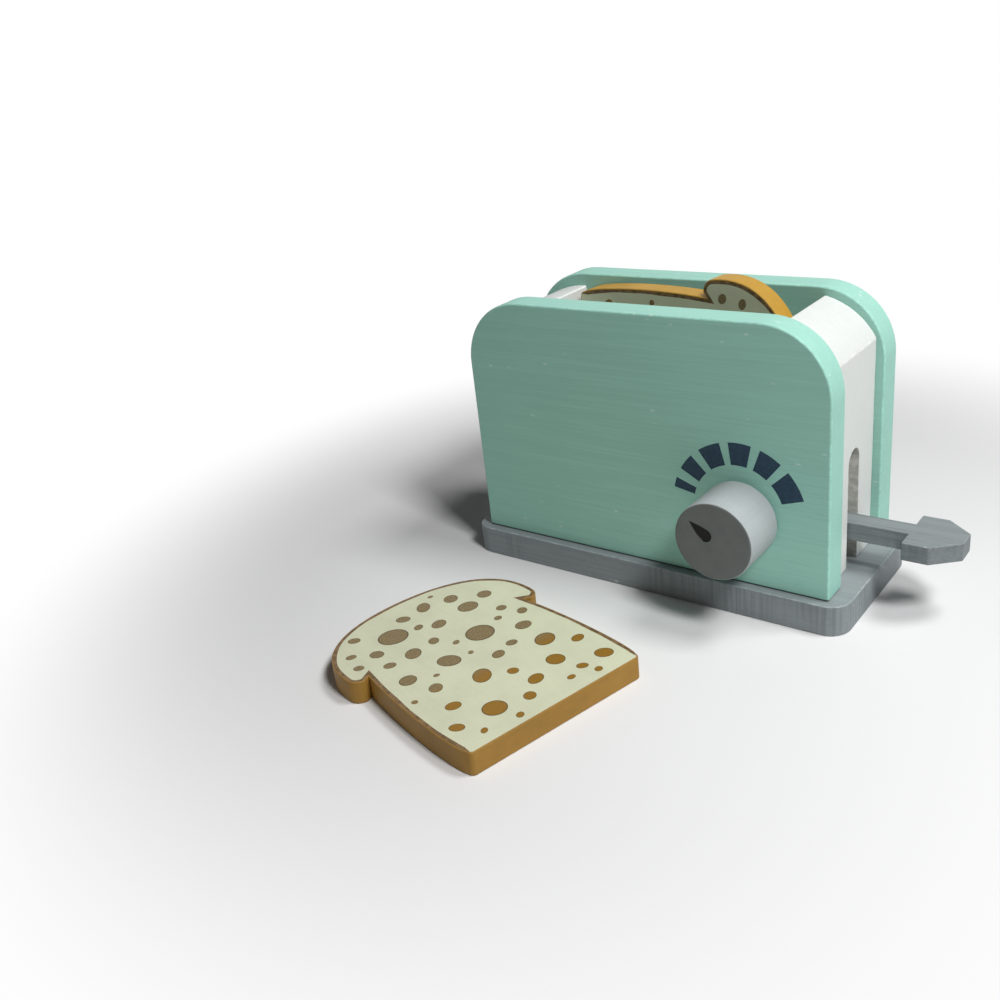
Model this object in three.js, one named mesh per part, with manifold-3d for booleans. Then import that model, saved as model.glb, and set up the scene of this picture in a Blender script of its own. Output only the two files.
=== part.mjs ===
// Wooden toy toaster with two wooden toast slices.
// Millimetres, +Z up. The origin is the centre of the base's underside,
// +X points to the lever and -Y to the board that carries the knob.

import * as THREE from "three";
import { mergeVertices } from "three/addons/utils/BufferGeometryUtils.js";
import Module from "manifold-3d";

const wasm = await Module();
wasm.setup();

// Base plate.
const BASE_THICKNESS = 13.5;
const BASE_END_OVERHANG = 7.5;
const BASE_SIDE_OVERHANG = 4;
const BASE_CORNER_RADIUS = 9;
const BASE_EDGE_ROUND = 1.2;

// Side boards, front and rear.
const BOARD_HEIGHT = 111.5;
const BOARD_THICKNESS = 13;
const BOARD_CORNER_RADIUS = 29;
const BOARD_EDGE_ROUND = 0.9;

// Well between the boards, where the bread goes in.
const WELL_WIDTH = 42;

// End blocks, glued between the boards.
const BLOCK_INSET = 3.7;
const BLOCK_EDGE_ROUND = 0.8;
const LEVER_BLOCK_THICKNESS = 21.7;
const LEVER_BLOCK_HEIGHT = 108;
const LEVER_BLOCK_SHOULDER = 92;
const LEVER_BLOCK_CROWN_RADIUS = 33;
const FAR_BLOCK_THICKNESS = 26.3;
const FAR_BLOCK_HEIGHT = 106;
const FAR_BLOCK_SHOULDER = 96;
const FAR_BLOCK_CROWN_RADIUS = 38;

// Arched slot for the lever.
const SLOT_SIDE_GAP = 1.3;
const SLOT_HEIGHT = 52;

// Lever, one plank with an arrow head outside and a thin tongue inside.
const LEVER_THICKNESS = 7.9;
const LEVER_WIDTH = 9.2;
const LEVER_ABOVE_BASE = 13.6;
const LEVER_NECK_OUTSIDE = 23.7;
const LEVER_EDGE_ROUND = 0.7;
const TONGUE_LENGTH = 78;
const TONGUE_THICKNESS = 4;
const HEAD_SHOULDER_WIDTH = 26.8;
const HEAD_WIDTH = 26.6;
const HEAD_BARB_LENGTH = 10.7;
const HEAD_TAPER_LENGTH = 10.4;
const HEAD_NOSE_WIDTH = 9.2;

// Bread platform, a plank as thick as the lever.
const PLATFORM_CORNER_RADIUS = 3;
const PLATFORM_EDGE_ROUND = 0.6;
const PLATFORM_END_GAP = 0.8;
const PLATFORM_SIDE_GAP = 0.8;

// Rest blocks that hold the platform off the base.
const REST_LENGTH = 12;
const REST_WIDTH = 30;
const REST_FROM_WELL_END = 12;
const REST_CORNER_RADIUS = 1.5;
const REST_EDGE_ROUND = 0.5;

// Knob, with its centre measured from the board's end at the lever.
const KNOB_RADIUS = 16.5;
const KNOB_LENGTH = 24;
const KNOB_FROM_BOARD_END = 37.4;
const KNOB_ABOVE_BASE = 29.9;
const KNOB_FRONT_ROUND = 0.7;
const KNOB_BACK_ROUND = 0.5;

// Knob screw, its washer and the counterbore that they sit in.
const KNOB_SCREW_RADIUS = 2;
const KNOB_SCREW_GRIP = 14;
const KNOB_SCREW_HEAD_RADIUS = 4;
const KNOB_SCREW_HEAD_HEIGHT = 2.4;
const WASHER_RADIUS = 5;
const WASHER_THICKNESS = 1;
const WASHER_SIDE_GAP = 1;
const KNOB_SCREW_SUNK = 1;

// Countersunk wood screws.
const SCREW_RADIUS = 1.8;
const SCREW_HEAD_RADIUS = 3.6;
const SCREW_HEAD_HEIGHT = 2.6;
const SCREW_HEAD_RIM = 0.4;
const SCREW_POINT = 3;
const SCREW_SUNK = 0.6;
const BASE_SCREW_LENGTH = 30;
const PLATFORM_SCREW_COVER = 1.2;
const BOARD_SCREW_FROM_END = 50;

// Blind dowels between the boards and the end blocks.
const DOWEL_RADIUS = 4;
const DOWEL_IN_BOARD = 8;
const DOWEL_IN_BLOCK = 10;
const DOWEL_CHAMFER = 0.8;
const DOWEL_LOW = 32;
const DOWEL_HIGH = 80;

// Toast slice, measured from the middle of its flat bottom edge.
const TOAST_THICKNESS = 10;
const TOAST_HEIGHT = 108.6;
const TOAST_BOTTOM_WIDTH = 82.5;
const TOAST_BODY_WIDTH = 86;
const TOAST_CROWN_WIDTH = 95;
const TOAST_NOTCH_DEPTH = 7.8;
const TOAST_NOTCH_HEIGHT = 68.4;
const TOAST_LOBE_RADIUS = 5.3;
const TOAST_LOBE_DROP = 1.4;
const TOAST_EDGE_ROUND = 0.5;

// Where the curves of the slice's outline have their control points, as shares of its sizes.
const BODY_LOW_SHARE = 0.1;
const BODY_HIGH_SHARE = 0.62;
const LOBE_BULGE_SHARE = 1.035;
const CROWN_SPRING_SHARE = 0.88;
const CROWN_SHOULDER_SHARE = 0.64;

// How the first slice lies on its side in the well: it leans, and stands askew to the boards.
const TOAST_END_CLEARANCE = 2.62;
const TOAST_LEAN = THREE.MathUtils.degToRad(3.7);
const TOAST_SKEW = THREE.MathUtils.degToRad(6);

// Where the second slice lies beside the toaster.
const LOOSE_TOAST_X = 25.5;
const LOOSE_TOAST_FROM_BASE = 98.4;
const LOOSE_TOAST_TURN = THREE.MathUtils.degToRad(75.7);

// Clearances.
const FIT_GAP = 0.3;
const RUNNING_GAP = 0.3;
const HOLE_END_GAP = 0.6;
const OVERRUN = 2;
const SAME_POINT = 0.001;

// Roundness, in segments. An arc gets twice its number.
const LARGE_ARC_SEGMENTS = 10;
const SMALL_ARC_SEGMENTS = 5;
const TINY_ARC_SEGMENTS = 2;
const ARCH_SEGMENTS = 10;
const TOAST_SEGMENTS = 12;
const ROUND_STEPS = 4;
const EDGE_SEGMENTS = 2;
const SCREW_SIDES = 16;
const DOWEL_SIDES = 20;
const KNOB_SIDES = 72;
const QUARTER = Math.PI / 2;

// Sizes and places that follow from the ones above. The well is as long as the slice in it.
const LYING_TOAST = lyingToastReach();
const WELL_LENGTH = FIT_GAP + LYING_TOAST.crown - LYING_TOAST.foot + TOAST_END_CLEARANCE;
const BOARD_LENGTH = WELL_LENGTH + LEVER_BLOCK_THICKNESS + FAR_BLOCK_THICKNESS + 2 * BLOCK_INSET;
const BASE_LENGTH = BOARD_LENGTH + 2 * BASE_END_OVERHANG;
const BASE_WIDTH = WELL_WIDTH + 2 * BOARD_THICKNESS + 2 * BASE_SIDE_OVERHANG;
const SLOT_WIDTH = LEVER_WIDTH + 2 * SLOT_SIDE_GAP;
const COUNTERBORE_RADIUS = WASHER_RADIUS + WASHER_SIDE_GAP;
const COUNTERBORE_DEPTH = WASHER_THICKNESS + 2 * RUNNING_GAP + KNOB_SCREW_HEAD_HEIGHT + KNOB_SCREW_SUNK;
const PLATFORM_SCREW_LENGTH = LEVER_THICKNESS - SCREW_SUNK - PLATFORM_SCREW_COVER;
const BASE_TOP = BASE_THICKNESS;
const BOARD_HALF = BOARD_LENGTH / 2;
const WELL_HALF = WELL_WIDTH / 2;
const BOARD_CENTRE_Y = WELL_HALF + BOARD_THICKNESS / 2;
const FRONT_FACE_Y = -WELL_HALF - BOARD_THICKNESS;
const BLOCK_OUTER_X = BOARD_HALF - BLOCK_INSET;
const WELL_RIGHT_X = BLOCK_OUTER_X - LEVER_BLOCK_THICKNESS;
const WELL_LEFT_X = WELL_RIGHT_X - WELL_LENGTH;
const LEVER_BLOCK_X = BLOCK_OUTER_X - LEVER_BLOCK_THICKNESS / 2;
const FAR_BLOCK_X = FAR_BLOCK_THICKNESS / 2 - BLOCK_OUTER_X;
const BLOCK_SCREW_Y = (SLOT_WIDTH / 2 + WELL_HALF) / 2;
const BOARD_SCREW_X = BOARD_HALF - BOARD_SCREW_FROM_END;
const KNOB_X = BOARD_HALF - KNOB_FROM_BOARD_END;
const KNOB_Z = BASE_TOP + KNOB_ABOVE_BASE;
const LEVER_UNDERSIDE = BASE_TOP + LEVER_ABOVE_BASE;
const PLATFORM_TOP = LEVER_UNDERSIDE + LEVER_THICKNESS;
const PLATFORM_LEFT_X = WELL_LEFT_X + PLATFORM_END_GAP;
const PLATFORM_RIGHT_X = WELL_RIGHT_X - PLATFORM_END_GAP;

function paint(colour, roughness, metalness = 0) {
  return new THREE.MeshStandardMaterial({ color: colour, roughness, metalness });
}

const mintPaint = () => paint(0x8cc0ac, 0.6);
const greyPaint = () => paint(0x868f90, 0.6);
const whitePaint = () => paint(0xeef0ee, 0.55);
const bareWood = () => paint(0xd9b98a, 0.75);
const toastPaint = () => paint(0xc98f3c, 0.6);
const steel = () => paint(0xb8bcc0, 0.35, 1);

function named(name, geometry, material) {
  const mesh = new THREE.Mesh(geometry, material);
  mesh.name = name;
  return mesh;
}

// Closed geometry to a solid that can be cut, and back again.
function toSolid(geometry) {
  const bare = geometry.clone();
  bare.deleteAttribute("normal");
  bare.deleteAttribute("uv");
  const merged = mergeVertices(bare);
  return new wasm.Manifold(new wasm.Mesh({
    numProp: 3,
    vertProperties: new Float32Array(merged.attributes.position.array),
    triVerts: new Uint32Array(merged.index.array),
  }));
}

function toGeometry(solid) {
  const mesh = solid.getMesh();
  const geometry = new THREE.BufferGeometry();
  geometry.setAttribute("position", new THREE.BufferAttribute(mesh.vertProperties, mesh.numProp));
  geometry.setIndex(new THREE.BufferAttribute(mesh.triVerts, 1));
  geometry.computeVertexNormals();
  return geometry;
}

function cut(geometry, cutters) {
  const solid = cutters.reduce((left, cutter) => left.subtract(toSolid(cutter)), toSolid(geometry));
  return toGeometry(solid);
}

// Outline as points, with the double ones at the joints of its lines and arcs left out.
function outlinePoints(shape, segments) {
  const points = shape.getPoints(segments);
  return points.filter((point, i) => point.distanceTo(points.at(i - 1)) > SAME_POINT);
}

// Board of the given outline, its arrises rounded over, between z = 0 and its thickness.
function roundedBoard(shape, thickness, round, segments) {
  const outline = new THREE.Shape(outlinePoints(shape, segments));
  const board = new THREE.ExtrudeGeometry(outline, {
    depth: thickness - 2 * round,
    bevelEnabled: true,
    bevelThickness: round,
    bevelSize: round,
    bevelOffset: -round,
    bevelSegments: EDGE_SEGMENTS,
  });
  return board.translate(0, 0, round);
}

// Stands an outline drawn in X and Z upright, centred on its thickness.
function uprightBoard(shape, thickness, round, segments) {
  const board = roundedBoard(shape, thickness, round, segments);
  return board.rotateX(QUARTER).translate(0, thickness / 2, 0);
}

function roundedRectangle(length, width, radius) {
  const x = length / 2;
  const y = width / 2;
  const shape = new THREE.Shape();
  shape.moveTo(radius - x, -y);
  shape.lineTo(x - radius, -y);
  shape.absarc(x - radius, radius - y, radius, -QUARTER, 0);
  shape.absarc(x - radius, y - radius, radius, 0, QUARTER);
  shape.absarc(radius - x, y - radius, radius, QUARTER, 2 * QUARTER);
  shape.absarc(radius - x, radius - y, radius, 2 * QUARTER, 3 * QUARTER);
  return shape;
}

// Round pieces, turned about Z from a profile of [radius, height] pairs.
function turned(profile, sides) {
  const points = profile.map(([radius, height]) => new THREE.Vector2(radius, height));
  return new THREE.LatheGeometry(points, sides).rotateX(QUARTER);
}

function cylinder(radius, length, sides) {
  return turned([[0, 0], [radius, 0], [radius, length], [0, length]], sides);
}

// Points of a quarter round from the side of a turned piece to its end.
function quarterRound(radius, round, end, steps) {
  const inwards = Math.sign(end);
  return Array.from({ length: steps + 1 }, (_, i) => {
    const angle = (i / steps) * QUARTER;
    return [
      radius - round + round * Math.cos(angle),
      end - inwards * (round - round * Math.sin(angle)),
    ];
  });
}

// Countersunk screw with its head down at z = 0 and its point up.
function woodScrew(length, gap = 0) {
  const shank = SCREW_RADIUS + gap;
  const head = SCREW_HEAD_RADIUS + gap;
  const point = Math.min(SCREW_POINT, (length - SCREW_HEAD_HEIGHT) / 2);
  return turned([
    [0, 0],
    [head, 0],
    [head, SCREW_HEAD_RIM + gap],
    [shank, SCREW_HEAD_HEIGHT + gap],
    [shank, length - point + gap],
    [0, length + gap],
  ], SCREW_SIDES);
}

// Hole for a wood screw, open below its head.
function screwHole(length) {
  const head = SCREW_HEAD_RADIUS + FIT_GAP;
  const recess = cylinder(head, OVERRUN + FIT_GAP, SCREW_SIDES).translate(0, 0, -OVERRUN);
  const bore = cylinder(SCREW_RADIUS + FIT_GAP, length + HOLE_END_GAP, SCREW_SIDES);
  return toGeometry(toSolid(woodScrew(length, FIT_GAP)).add(toSolid(recess)).add(toSolid(bore)));
}

function basePlaces() {
  const places = [];
  for (const x of [-BOARD_SCREW_X, BOARD_SCREW_X]) {
    places.push(["front_board_screw", x, -BOARD_CENTRE_Y], ["rear_board_screw", x, BOARD_CENTRE_Y]);
  }
  for (const y of [-BLOCK_SCREW_Y, BLOCK_SCREW_Y]) {
    places.push(["lever_block_screw", LEVER_BLOCK_X, y], ["far_block_screw", FAR_BLOCK_X, y]);
  }
  return places;
}

function screwHolesAt(places) {
  return places.map(([, x, y]) => screwHole(BASE_SCREW_LENGTH).translate(x, y, SCREW_SUNK));
}

function basePlate() {
  const outline = roundedRectangle(BASE_LENGTH, BASE_WIDTH, BASE_CORNER_RADIUS);
  const plate = roundedBoard(outline, BASE_THICKNESS, BASE_EDGE_ROUND, SMALL_ARC_SEGMENTS);
  return named("base_plate", cut(plate, screwHolesAt(basePlaces())), greyPaint());
}

function baseScrews() {
  const counts = {};
  return basePlaces().map(([name, x, y]) => {
    counts[name] = (counts[name] ?? 0) + 1;
    const screw = named(`${name}_${counts[name]}`, woodScrew(BASE_SCREW_LENGTH), steel());
    screw.position.set(x, y, SCREW_SUNK);
    return screw;
  });
}

// Dowels, two in each corner where a board meets an end block.
function dowelPlaces() {
  const places = [];
  for (const [end, x] of [["lever", LEVER_BLOCK_X], ["far", FAR_BLOCK_X]]) {
    for (const [level, height] of [["low", DOWEL_LOW], ["high", DOWEL_HIGH]]) {
      places.push([`${end}_${level}`, x, BASE_TOP + height]);
    }
  }
  return places;
}

function dowelHole(x, z, side) {
  const length = DOWEL_IN_BOARD + DOWEL_IN_BLOCK + 2 * HOLE_END_GAP;
  const hole = cylinder(DOWEL_RADIUS + FIT_GAP, length, DOWEL_SIDES);
  hole.rotateX(-QUARTER).translate(0, -DOWEL_IN_BLOCK - HOLE_END_GAP, 0);
  if (side < 0) hole.rotateZ(2 * QUARTER);
  return hole.translate(x, side * WELL_HALF, z);
}

function dowelHoles(sides) {
  return sides.flatMap((side) => dowelPlaces().map(([, x, z]) => dowelHole(x, z, side)));
}

function dowels() {
  const length = DOWEL_IN_BOARD + DOWEL_IN_BLOCK;
  const profile = [
    [0, 0],
    [DOWEL_RADIUS - DOWEL_CHAMFER, 0],
    [DOWEL_RADIUS, DOWEL_CHAMFER],
    [DOWEL_RADIUS, length - DOWEL_CHAMFER],
    [DOWEL_RADIUS - DOWEL_CHAMFER, length],
    [0, length],
  ];
  return [["front", -1], ["rear", 1]].flatMap(([board, side]) => dowelPlaces().map(([name, x, z]) => {
    const dowel = named(`${board}_${name}_dowel`, turned(profile, DOWEL_SIDES), bareWood());
    dowel.rotation.x = -side * QUARTER;
    dowel.position.set(x, side * (WELL_HALF - DOWEL_IN_BLOCK), z);
    return dowel;
  }));
}

// Side board with round top corners, its foot at z = 0.
function sideBoardOutline() {
  const corner = BOARD_HALF - BOARD_CORNER_RADIUS;
  const spring = BOARD_HEIGHT - BOARD_CORNER_RADIUS;
  const shape = new THREE.Shape();
  shape.moveTo(-BOARD_HALF, 0);
  shape.lineTo(BOARD_HALF, 0);
  shape.absarc(corner, spring, BOARD_CORNER_RADIUS, 0, QUARTER);
  shape.absarc(-corner, spring, BOARD_CORNER_RADIUS, QUARTER, 2 * QUARTER);
  return shape;
}

function sideBoard(side) {
  const outline = sideBoardOutline();
  const board = uprightBoard(outline, BOARD_THICKNESS, BOARD_EDGE_ROUND, LARGE_ARC_SEGMENTS);
  const screws = basePlaces().filter(([, , y]) => y === side * BOARD_CENTRE_Y);
  return cut(board.translate(0, side * BOARD_CENTRE_Y, BASE_TOP), [
    ...screwHolesAt(screws),
    ...dowelHoles([side]),
  ]);
}

function rearBoard() {
  return named("rear_board", sideBoard(1), mintPaint());
}

// Front board, with the knob screw's hole and a counterbore for its head on the well side.
function frontBoard() {
  const hole = cylinder(KNOB_SCREW_RADIUS + RUNNING_GAP, BOARD_THICKNESS + 2 * OVERRUN, SCREW_SIDES);
  const bore = cylinder(COUNTERBORE_RADIUS, COUNTERBORE_DEPTH + OVERRUN, KNOB_SIDES / 2);
  const cutters = [
    hole.rotateX(-QUARTER).translate(KNOB_X, FRONT_FACE_Y - OVERRUN, KNOB_Z),
    bore.rotateX(-QUARTER).translate(KNOB_X, -WELL_HALF - COUNTERBORE_DEPTH, KNOB_Z),
  ];
  return named("front_board", cut(sideBoard(-1), cutters), mintPaint());
}

// Outline of an end block in X and Z, outer face at x = 0 and inner face at x = thickness.
// The top falls in an arc from the inner face to a shoulder on the outer one.
function blockOutline(thickness, height, shoulder, radius) {
  const inner = new THREE.Vector2(thickness, height);
  const outer = new THREE.Vector2(0, shoulder);
  const middle = inner.clone().add(outer).divideScalar(2);
  const chord = inner.clone().sub(outer);
  const rise = Math.sqrt(radius ** 2 - chord.lengthSq() / 4);
  const centre = middle.add(new THREE.Vector2(chord.y, -chord.x).setLength(rise));
  const angleTo = (point) => Math.atan2(point.y - centre.y, point.x - centre.x);
  const shape = new THREE.Shape();
  shape.moveTo(0, 0);
  shape.lineTo(0, shoulder);
  shape.absarc(centre.x, centre.y, radius, angleTo(outer), angleTo(inner), true);
  shape.lineTo(thickness, 0);
  return shape;
}

// Arch outline in Y and Z, its foot cut through the block's underside.
function archOutline() {
  const half = SLOT_WIDTH / 2;
  const shape = new THREE.Shape();
  shape.moveTo(half, -OVERRUN);
  shape.lineTo(half, SLOT_HEIGHT - half);
  shape.absarc(0, SLOT_HEIGHT - half, half, 0, 2 * QUARTER);
  shape.lineTo(-half, -OVERRUN);
  return shape;
}

function archCutter() {
  const depth = LEVER_BLOCK_THICKNESS + 2 * OVERRUN;
  const arch = new THREE.ExtrudeGeometry(archOutline(), {
    depth,
    curveSegments: ARCH_SEGMENTS,
    bevelEnabled: false,
  });
  return arch.rotateX(QUARTER).rotateZ(QUARTER).translate(WELL_RIGHT_X - OVERRUN, 0, BASE_TOP);
}

function endBlockBlank(thickness, height, shoulder, radius) {
  const outline = blockOutline(thickness, height, shoulder, radius);
  const blank = uprightBoard(outline, WELL_WIDTH, BLOCK_EDGE_ROUND, SMALL_ARC_SEGMENTS);
  return blank.translate(-BLOCK_OUTER_X, 0, BASE_TOP);
}

function blockScrewHoles(x) {
  return screwHolesAt(basePlaces().filter(([, placeX]) => placeX === x));
}

function leverEndBlock() {
  const blank = endBlockBlank(
    LEVER_BLOCK_THICKNESS, LEVER_BLOCK_HEIGHT, LEVER_BLOCK_SHOULDER, LEVER_BLOCK_CROWN_RADIUS,
  ).rotateZ(2 * QUARTER);
  const block = cut(blank, [archCutter(), ...blockScrewHoles(LEVER_BLOCK_X), ...dowelHoles([-1, 1])]);
  return named("lever_end_block", block, whitePaint());
}

function farEndBlock() {
  const blank = endBlockBlank(
    FAR_BLOCK_THICKNESS, FAR_BLOCK_HEIGHT, FAR_BLOCK_SHOULDER, FAR_BLOCK_CROWN_RADIUS,
  );
  const block = cut(blank, [...blockScrewHoles(FAR_BLOCK_X), ...dowelHoles([-1, 1])]);
  return named("far_end_block", block, whitePaint());
}

// Two cross blocks glued on the base, which the platform comes down on.
function restBlocks() {
  const outline = roundedRectangle(REST_LENGTH, REST_WIDTH, REST_CORNER_RADIUS);
  const height = LEVER_ABOVE_BASE - RUNNING_GAP;
  const offset = REST_FROM_WELL_END + REST_LENGTH / 2;
  return [["far", WELL_LEFT_X + offset], ["lever", WELL_RIGHT_X - offset]].map(([end, x]) => {
    const block = roundedBoard(outline, height, REST_EDGE_ROUND, TINY_ARC_SEGMENTS);
    const rest = named(`${end}_rest_block`, block, bareWood());
    rest.position.set(x, 0, BASE_TOP);
    return rest;
  });
}

// Lever plan: tongue, neck and arrow head, with x = 0 at the neck's inner end.
function leverOutline() {
  const neck = LEVER_WIDTH / 2;
  const shoulder = BLOCK_OUTER_X - PLATFORM_RIGHT_X + LEVER_NECK_OUTSIDE;
  const barb = shoulder + HEAD_BARB_LENGTH;
  const nose = barb + HEAD_TAPER_LENGTH;
  const half = [
    [-TONGUE_LENGTH, neck],
    [shoulder, neck],
    [shoulder, HEAD_SHOULDER_WIDTH / 2],
    [barb, HEAD_WIDTH / 2],
    [nose, HEAD_NOSE_WIDTH / 2],
  ];
  const mirrored = half.map(([x, y]) => [x, -y]).reverse();
  return new THREE.Shape([...mirrored, ...half].map(([x, y]) => new THREE.Vector2(x, y)));
}

function platformScrewPlaces() {
  const spread = TONGUE_LENGTH / 4;
  const middle = -TONGUE_LENGTH / 2;
  return [middle - spread, middle + spread];
}

function platformScrewHoles() {
  return platformScrewPlaces().map((x) => screwHole(PLATFORM_SCREW_LENGTH).translate(x, 0, SCREW_SUNK));
}

// The upper half of the tongue is cut away, so that it laps under the platform.
function lever() {
  const plank = roundedBoard(leverOutline(), LEVER_THICKNESS, LEVER_EDGE_ROUND, TINY_ARC_SEGMENTS);
  const length = TONGUE_LENGTH + OVERRUN;
  const height = LEVER_THICKNESS - TONGUE_THICKNESS + OVERRUN;
  const lap = new THREE.BoxGeometry(length, LEVER_WIDTH + OVERRUN, height);
  lap.translate(-length / 2, 0, TONGUE_THICKNESS + height / 2);
  return named("lever", cut(plank, [lap, ...platformScrewHoles()]), greyPaint());
}

// Platform drawn from the lever's inner end, with a housing below for the tongue.
function breadPlatform() {
  const length = PLATFORM_RIGHT_X - PLATFORM_LEFT_X;
  const width = WELL_WIDTH - 2 * PLATFORM_SIDE_GAP;
  const outline = roundedRectangle(length, width, PLATFORM_CORNER_RADIUS);
  const board = roundedBoard(outline, LEVER_THICKNESS, PLATFORM_EDGE_ROUND, TINY_ARC_SEGMENTS);
  board.translate(-length / 2 - FIT_GAP, 0, 0);
  const housingLength = TONGUE_LENGTH + FIT_GAP + OVERRUN;
  const housingHeight = TONGUE_THICKNESS + FIT_GAP + OVERRUN;
  const housing = new THREE.BoxGeometry(housingLength, LEVER_WIDTH + 2 * FIT_GAP, housingHeight);
  housing.translate(OVERRUN - housingLength / 2, 0, TONGUE_THICKNESS + FIT_GAP - housingHeight / 2);
  return named("bread_platform", cut(board, [housing, ...platformScrewHoles()]), bareWood());
}

function platformScrews() {
  return platformScrewPlaces().map((x, index) => {
    const screw = named(`platform_screw_${index + 1}`, woodScrew(PLATFORM_SCREW_LENGTH), steel());
    screw.position.set(x, 0, SCREW_SUNK);
    return screw;
  });
}

function carriage() {
  const group = new THREE.Group();
  group.add(lever(), breadPlatform(), ...platformScrews());
  group.position.set(PLATFORM_RIGHT_X + FIT_GAP, 0, LEVER_UNDERSIDE);
  return group;
}

// Knob turned about Z, back face at z = 0, bored for its screw.
function knob() {
  const body = turned([
    [0, 0],
    [KNOB_RADIUS - KNOB_BACK_ROUND, 0],
    [KNOB_RADIUS, KNOB_BACK_ROUND],
    ...quarterRound(KNOB_RADIUS, KNOB_FRONT_ROUND, KNOB_LENGTH, ROUND_STEPS),
    [0, KNOB_LENGTH],
  ], KNOB_SIDES);
  const bore = cylinder(KNOB_SCREW_RADIUS + FIT_GAP, KNOB_SCREW_GRIP + HOLE_END_GAP + OVERRUN, SCREW_SIDES);
  return named("knob", cut(body, [bore.translate(0, 0, -OVERRUN)]), greyPaint());
}

// Pan head screw from the well side, through the washer and the board into the knob.
function knobScrew() {
  const boardUnderWasher = BOARD_THICKNESS - COUNTERBORE_DEPTH;
  const seat = -RUNNING_GAP - boardUnderWasher - WASHER_THICKNESS - 2 * RUNNING_GAP;
  const head = seat - KNOB_SCREW_HEAD_HEIGHT;
  const crown = quarterRound(KNOB_SCREW_HEAD_RADIUS, KNOB_SCREW_HEAD_HEIGHT, head, ROUND_STEPS);
  const screw = turned([
    [0, head],
    ...crown.reverse(),
    [KNOB_SCREW_RADIUS, seat],
    [KNOB_SCREW_RADIUS, KNOB_SCREW_GRIP - KNOB_SCREW_RADIUS],
    [0, KNOB_SCREW_GRIP],
  ], SCREW_SIDES);
  return named("knob_screw", screw, steel());
}

function knobWasher() {
  const inner = KNOB_SCREW_RADIUS + FIT_GAP;
  const washer = turned([
    [inner, 0],
    [WASHER_RADIUS, 0],
    [WASHER_RADIUS, WASHER_THICKNESS],
    [inner, WASHER_THICKNESS],
    [inner, 0],
  ], SCREW_SIDES);
  const mesh = named("knob_washer", washer, steel());
  mesh.position.z = COUNTERBORE_DEPTH - BOARD_THICKNESS - 2 * RUNNING_GAP - WASHER_THICKNESS;
  return mesh;
}

function knobAssembly() {
  const group = new THREE.Group();
  group.add(knob(), knobScrew(), knobWasher());
  group.rotation.x = QUARTER;
  group.position.set(KNOB_X, FRONT_FACE_Y - RUNNING_GAP, KNOB_Z);
  return group;
}

// Slice outline: flat bottom edge, bowed sides, a sharp notch under each lobe, a broad crown.
// The sides' control points lie out far enough for them to reach the body's width halfway up.
function toastOutline() {
  const foot = TOAST_BOTTOM_WIDTH / 2;
  const lobe = TOAST_CROWN_WIDTH / 2;
  const notch = lobe - TOAST_NOTCH_DEPTH;
  const body = (4 * TOAST_BODY_WIDTH - foot - notch) / 6;
  const low = BODY_LOW_SHARE * TOAST_NOTCH_HEIGHT;
  const high = BODY_HIGH_SHARE * TOAST_NOTCH_HEIGHT;
  const lobeFoot = TOAST_NOTCH_HEIGHT - TOAST_LOBE_DROP + TOAST_LOBE_RADIUS;
  const bulge = LOBE_BULGE_SHARE * lobe;
  const spring = CROWN_SPRING_SHARE * TOAST_HEIGHT;
  const shoulder = CROWN_SHOULDER_SHARE * lobe;
  const shape = new THREE.Shape();
  shape.moveTo(-foot, 0);
  shape.lineTo(foot, 0);
  shape.bezierCurveTo(body, low, body, high, notch, TOAST_NOTCH_HEIGHT);
  shape.absarc(lobe - TOAST_LOBE_RADIUS, lobeFoot, TOAST_LOBE_RADIUS, -QUARTER, 0);
  shape.bezierCurveTo(bulge, spring, shoulder, TOAST_HEIGHT, 0, TOAST_HEIGHT);
  shape.bezierCurveTo(-shoulder, TOAST_HEIGHT, -bulge, spring, -lobe, lobeFoot);
  shape.absarc(TOAST_LOBE_RADIUS - lobe, lobeFoot, TOAST_LOBE_RADIUS, 2 * QUARTER, 3 * QUARTER);
  shape.lineTo(-notch, TOAST_NOTCH_HEIGHT);
  shape.bezierCurveTo(-body, high, -body, low, -foot, 0);
  return shape;
}

function toastSlice(name) {
  const slice = roundedBoard(toastOutline(), TOAST_THICKNESS, TOAST_EDGE_ROUND, TOAST_SEGMENTS);
  return named(name, slice, toastPaint());
}

// How far the slice on its side reaches from the middle of its bottom edge: along the well
// to its foot and its crown, across to the rear board, and down to its lower lobe.
function lyingToastReach() {
  const points = outlinePoints(toastOutline(), TOAST_SEGMENTS);
  const along = points.map(({ x, y }) => y * Math.cos(TOAST_LEAN) - x * Math.sin(TOAST_LEAN));
  const up = points.map(({ x, y }) => x * Math.cos(TOAST_LEAN) + y * Math.sin(TOAST_LEAN));
  const foot = Math.min(...along);
  const sine = Math.sin(TOAST_SKEW);
  const cosine = Math.cos(TOAST_SKEW);
  return {
    foot: foot * cosine - TOAST_THICKNESS * sine,
    crown: Math.max(...along) * cosine,
    rear: -foot * sine,
    lobe: Math.min(...up),
  };
}

// The slice in the well lies on its side, its lobe on the platform, its crown against
// the lever's end block and its foot against the rear board.
function lyingToast() {
  const lean = new THREE.Group();
  lean.add(toastSlice("toast_in_well"));
  lean.rotation.z = TOAST_LEAN - QUARTER;
  const side = new THREE.Group();
  side.add(lean);
  side.rotation.x = QUARTER;
  const skew = new THREE.Group();
  skew.add(side);
  skew.rotation.z = -TOAST_SKEW;
  skew.position.set(
    WELL_RIGHT_X - FIT_GAP - LYING_TOAST.crown,
    WELL_HALF - FIT_GAP - LYING_TOAST.rear,
    PLATFORM_TOP + RUNNING_GAP - LYING_TOAST.lobe,
  );
  return skew;
}

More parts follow.
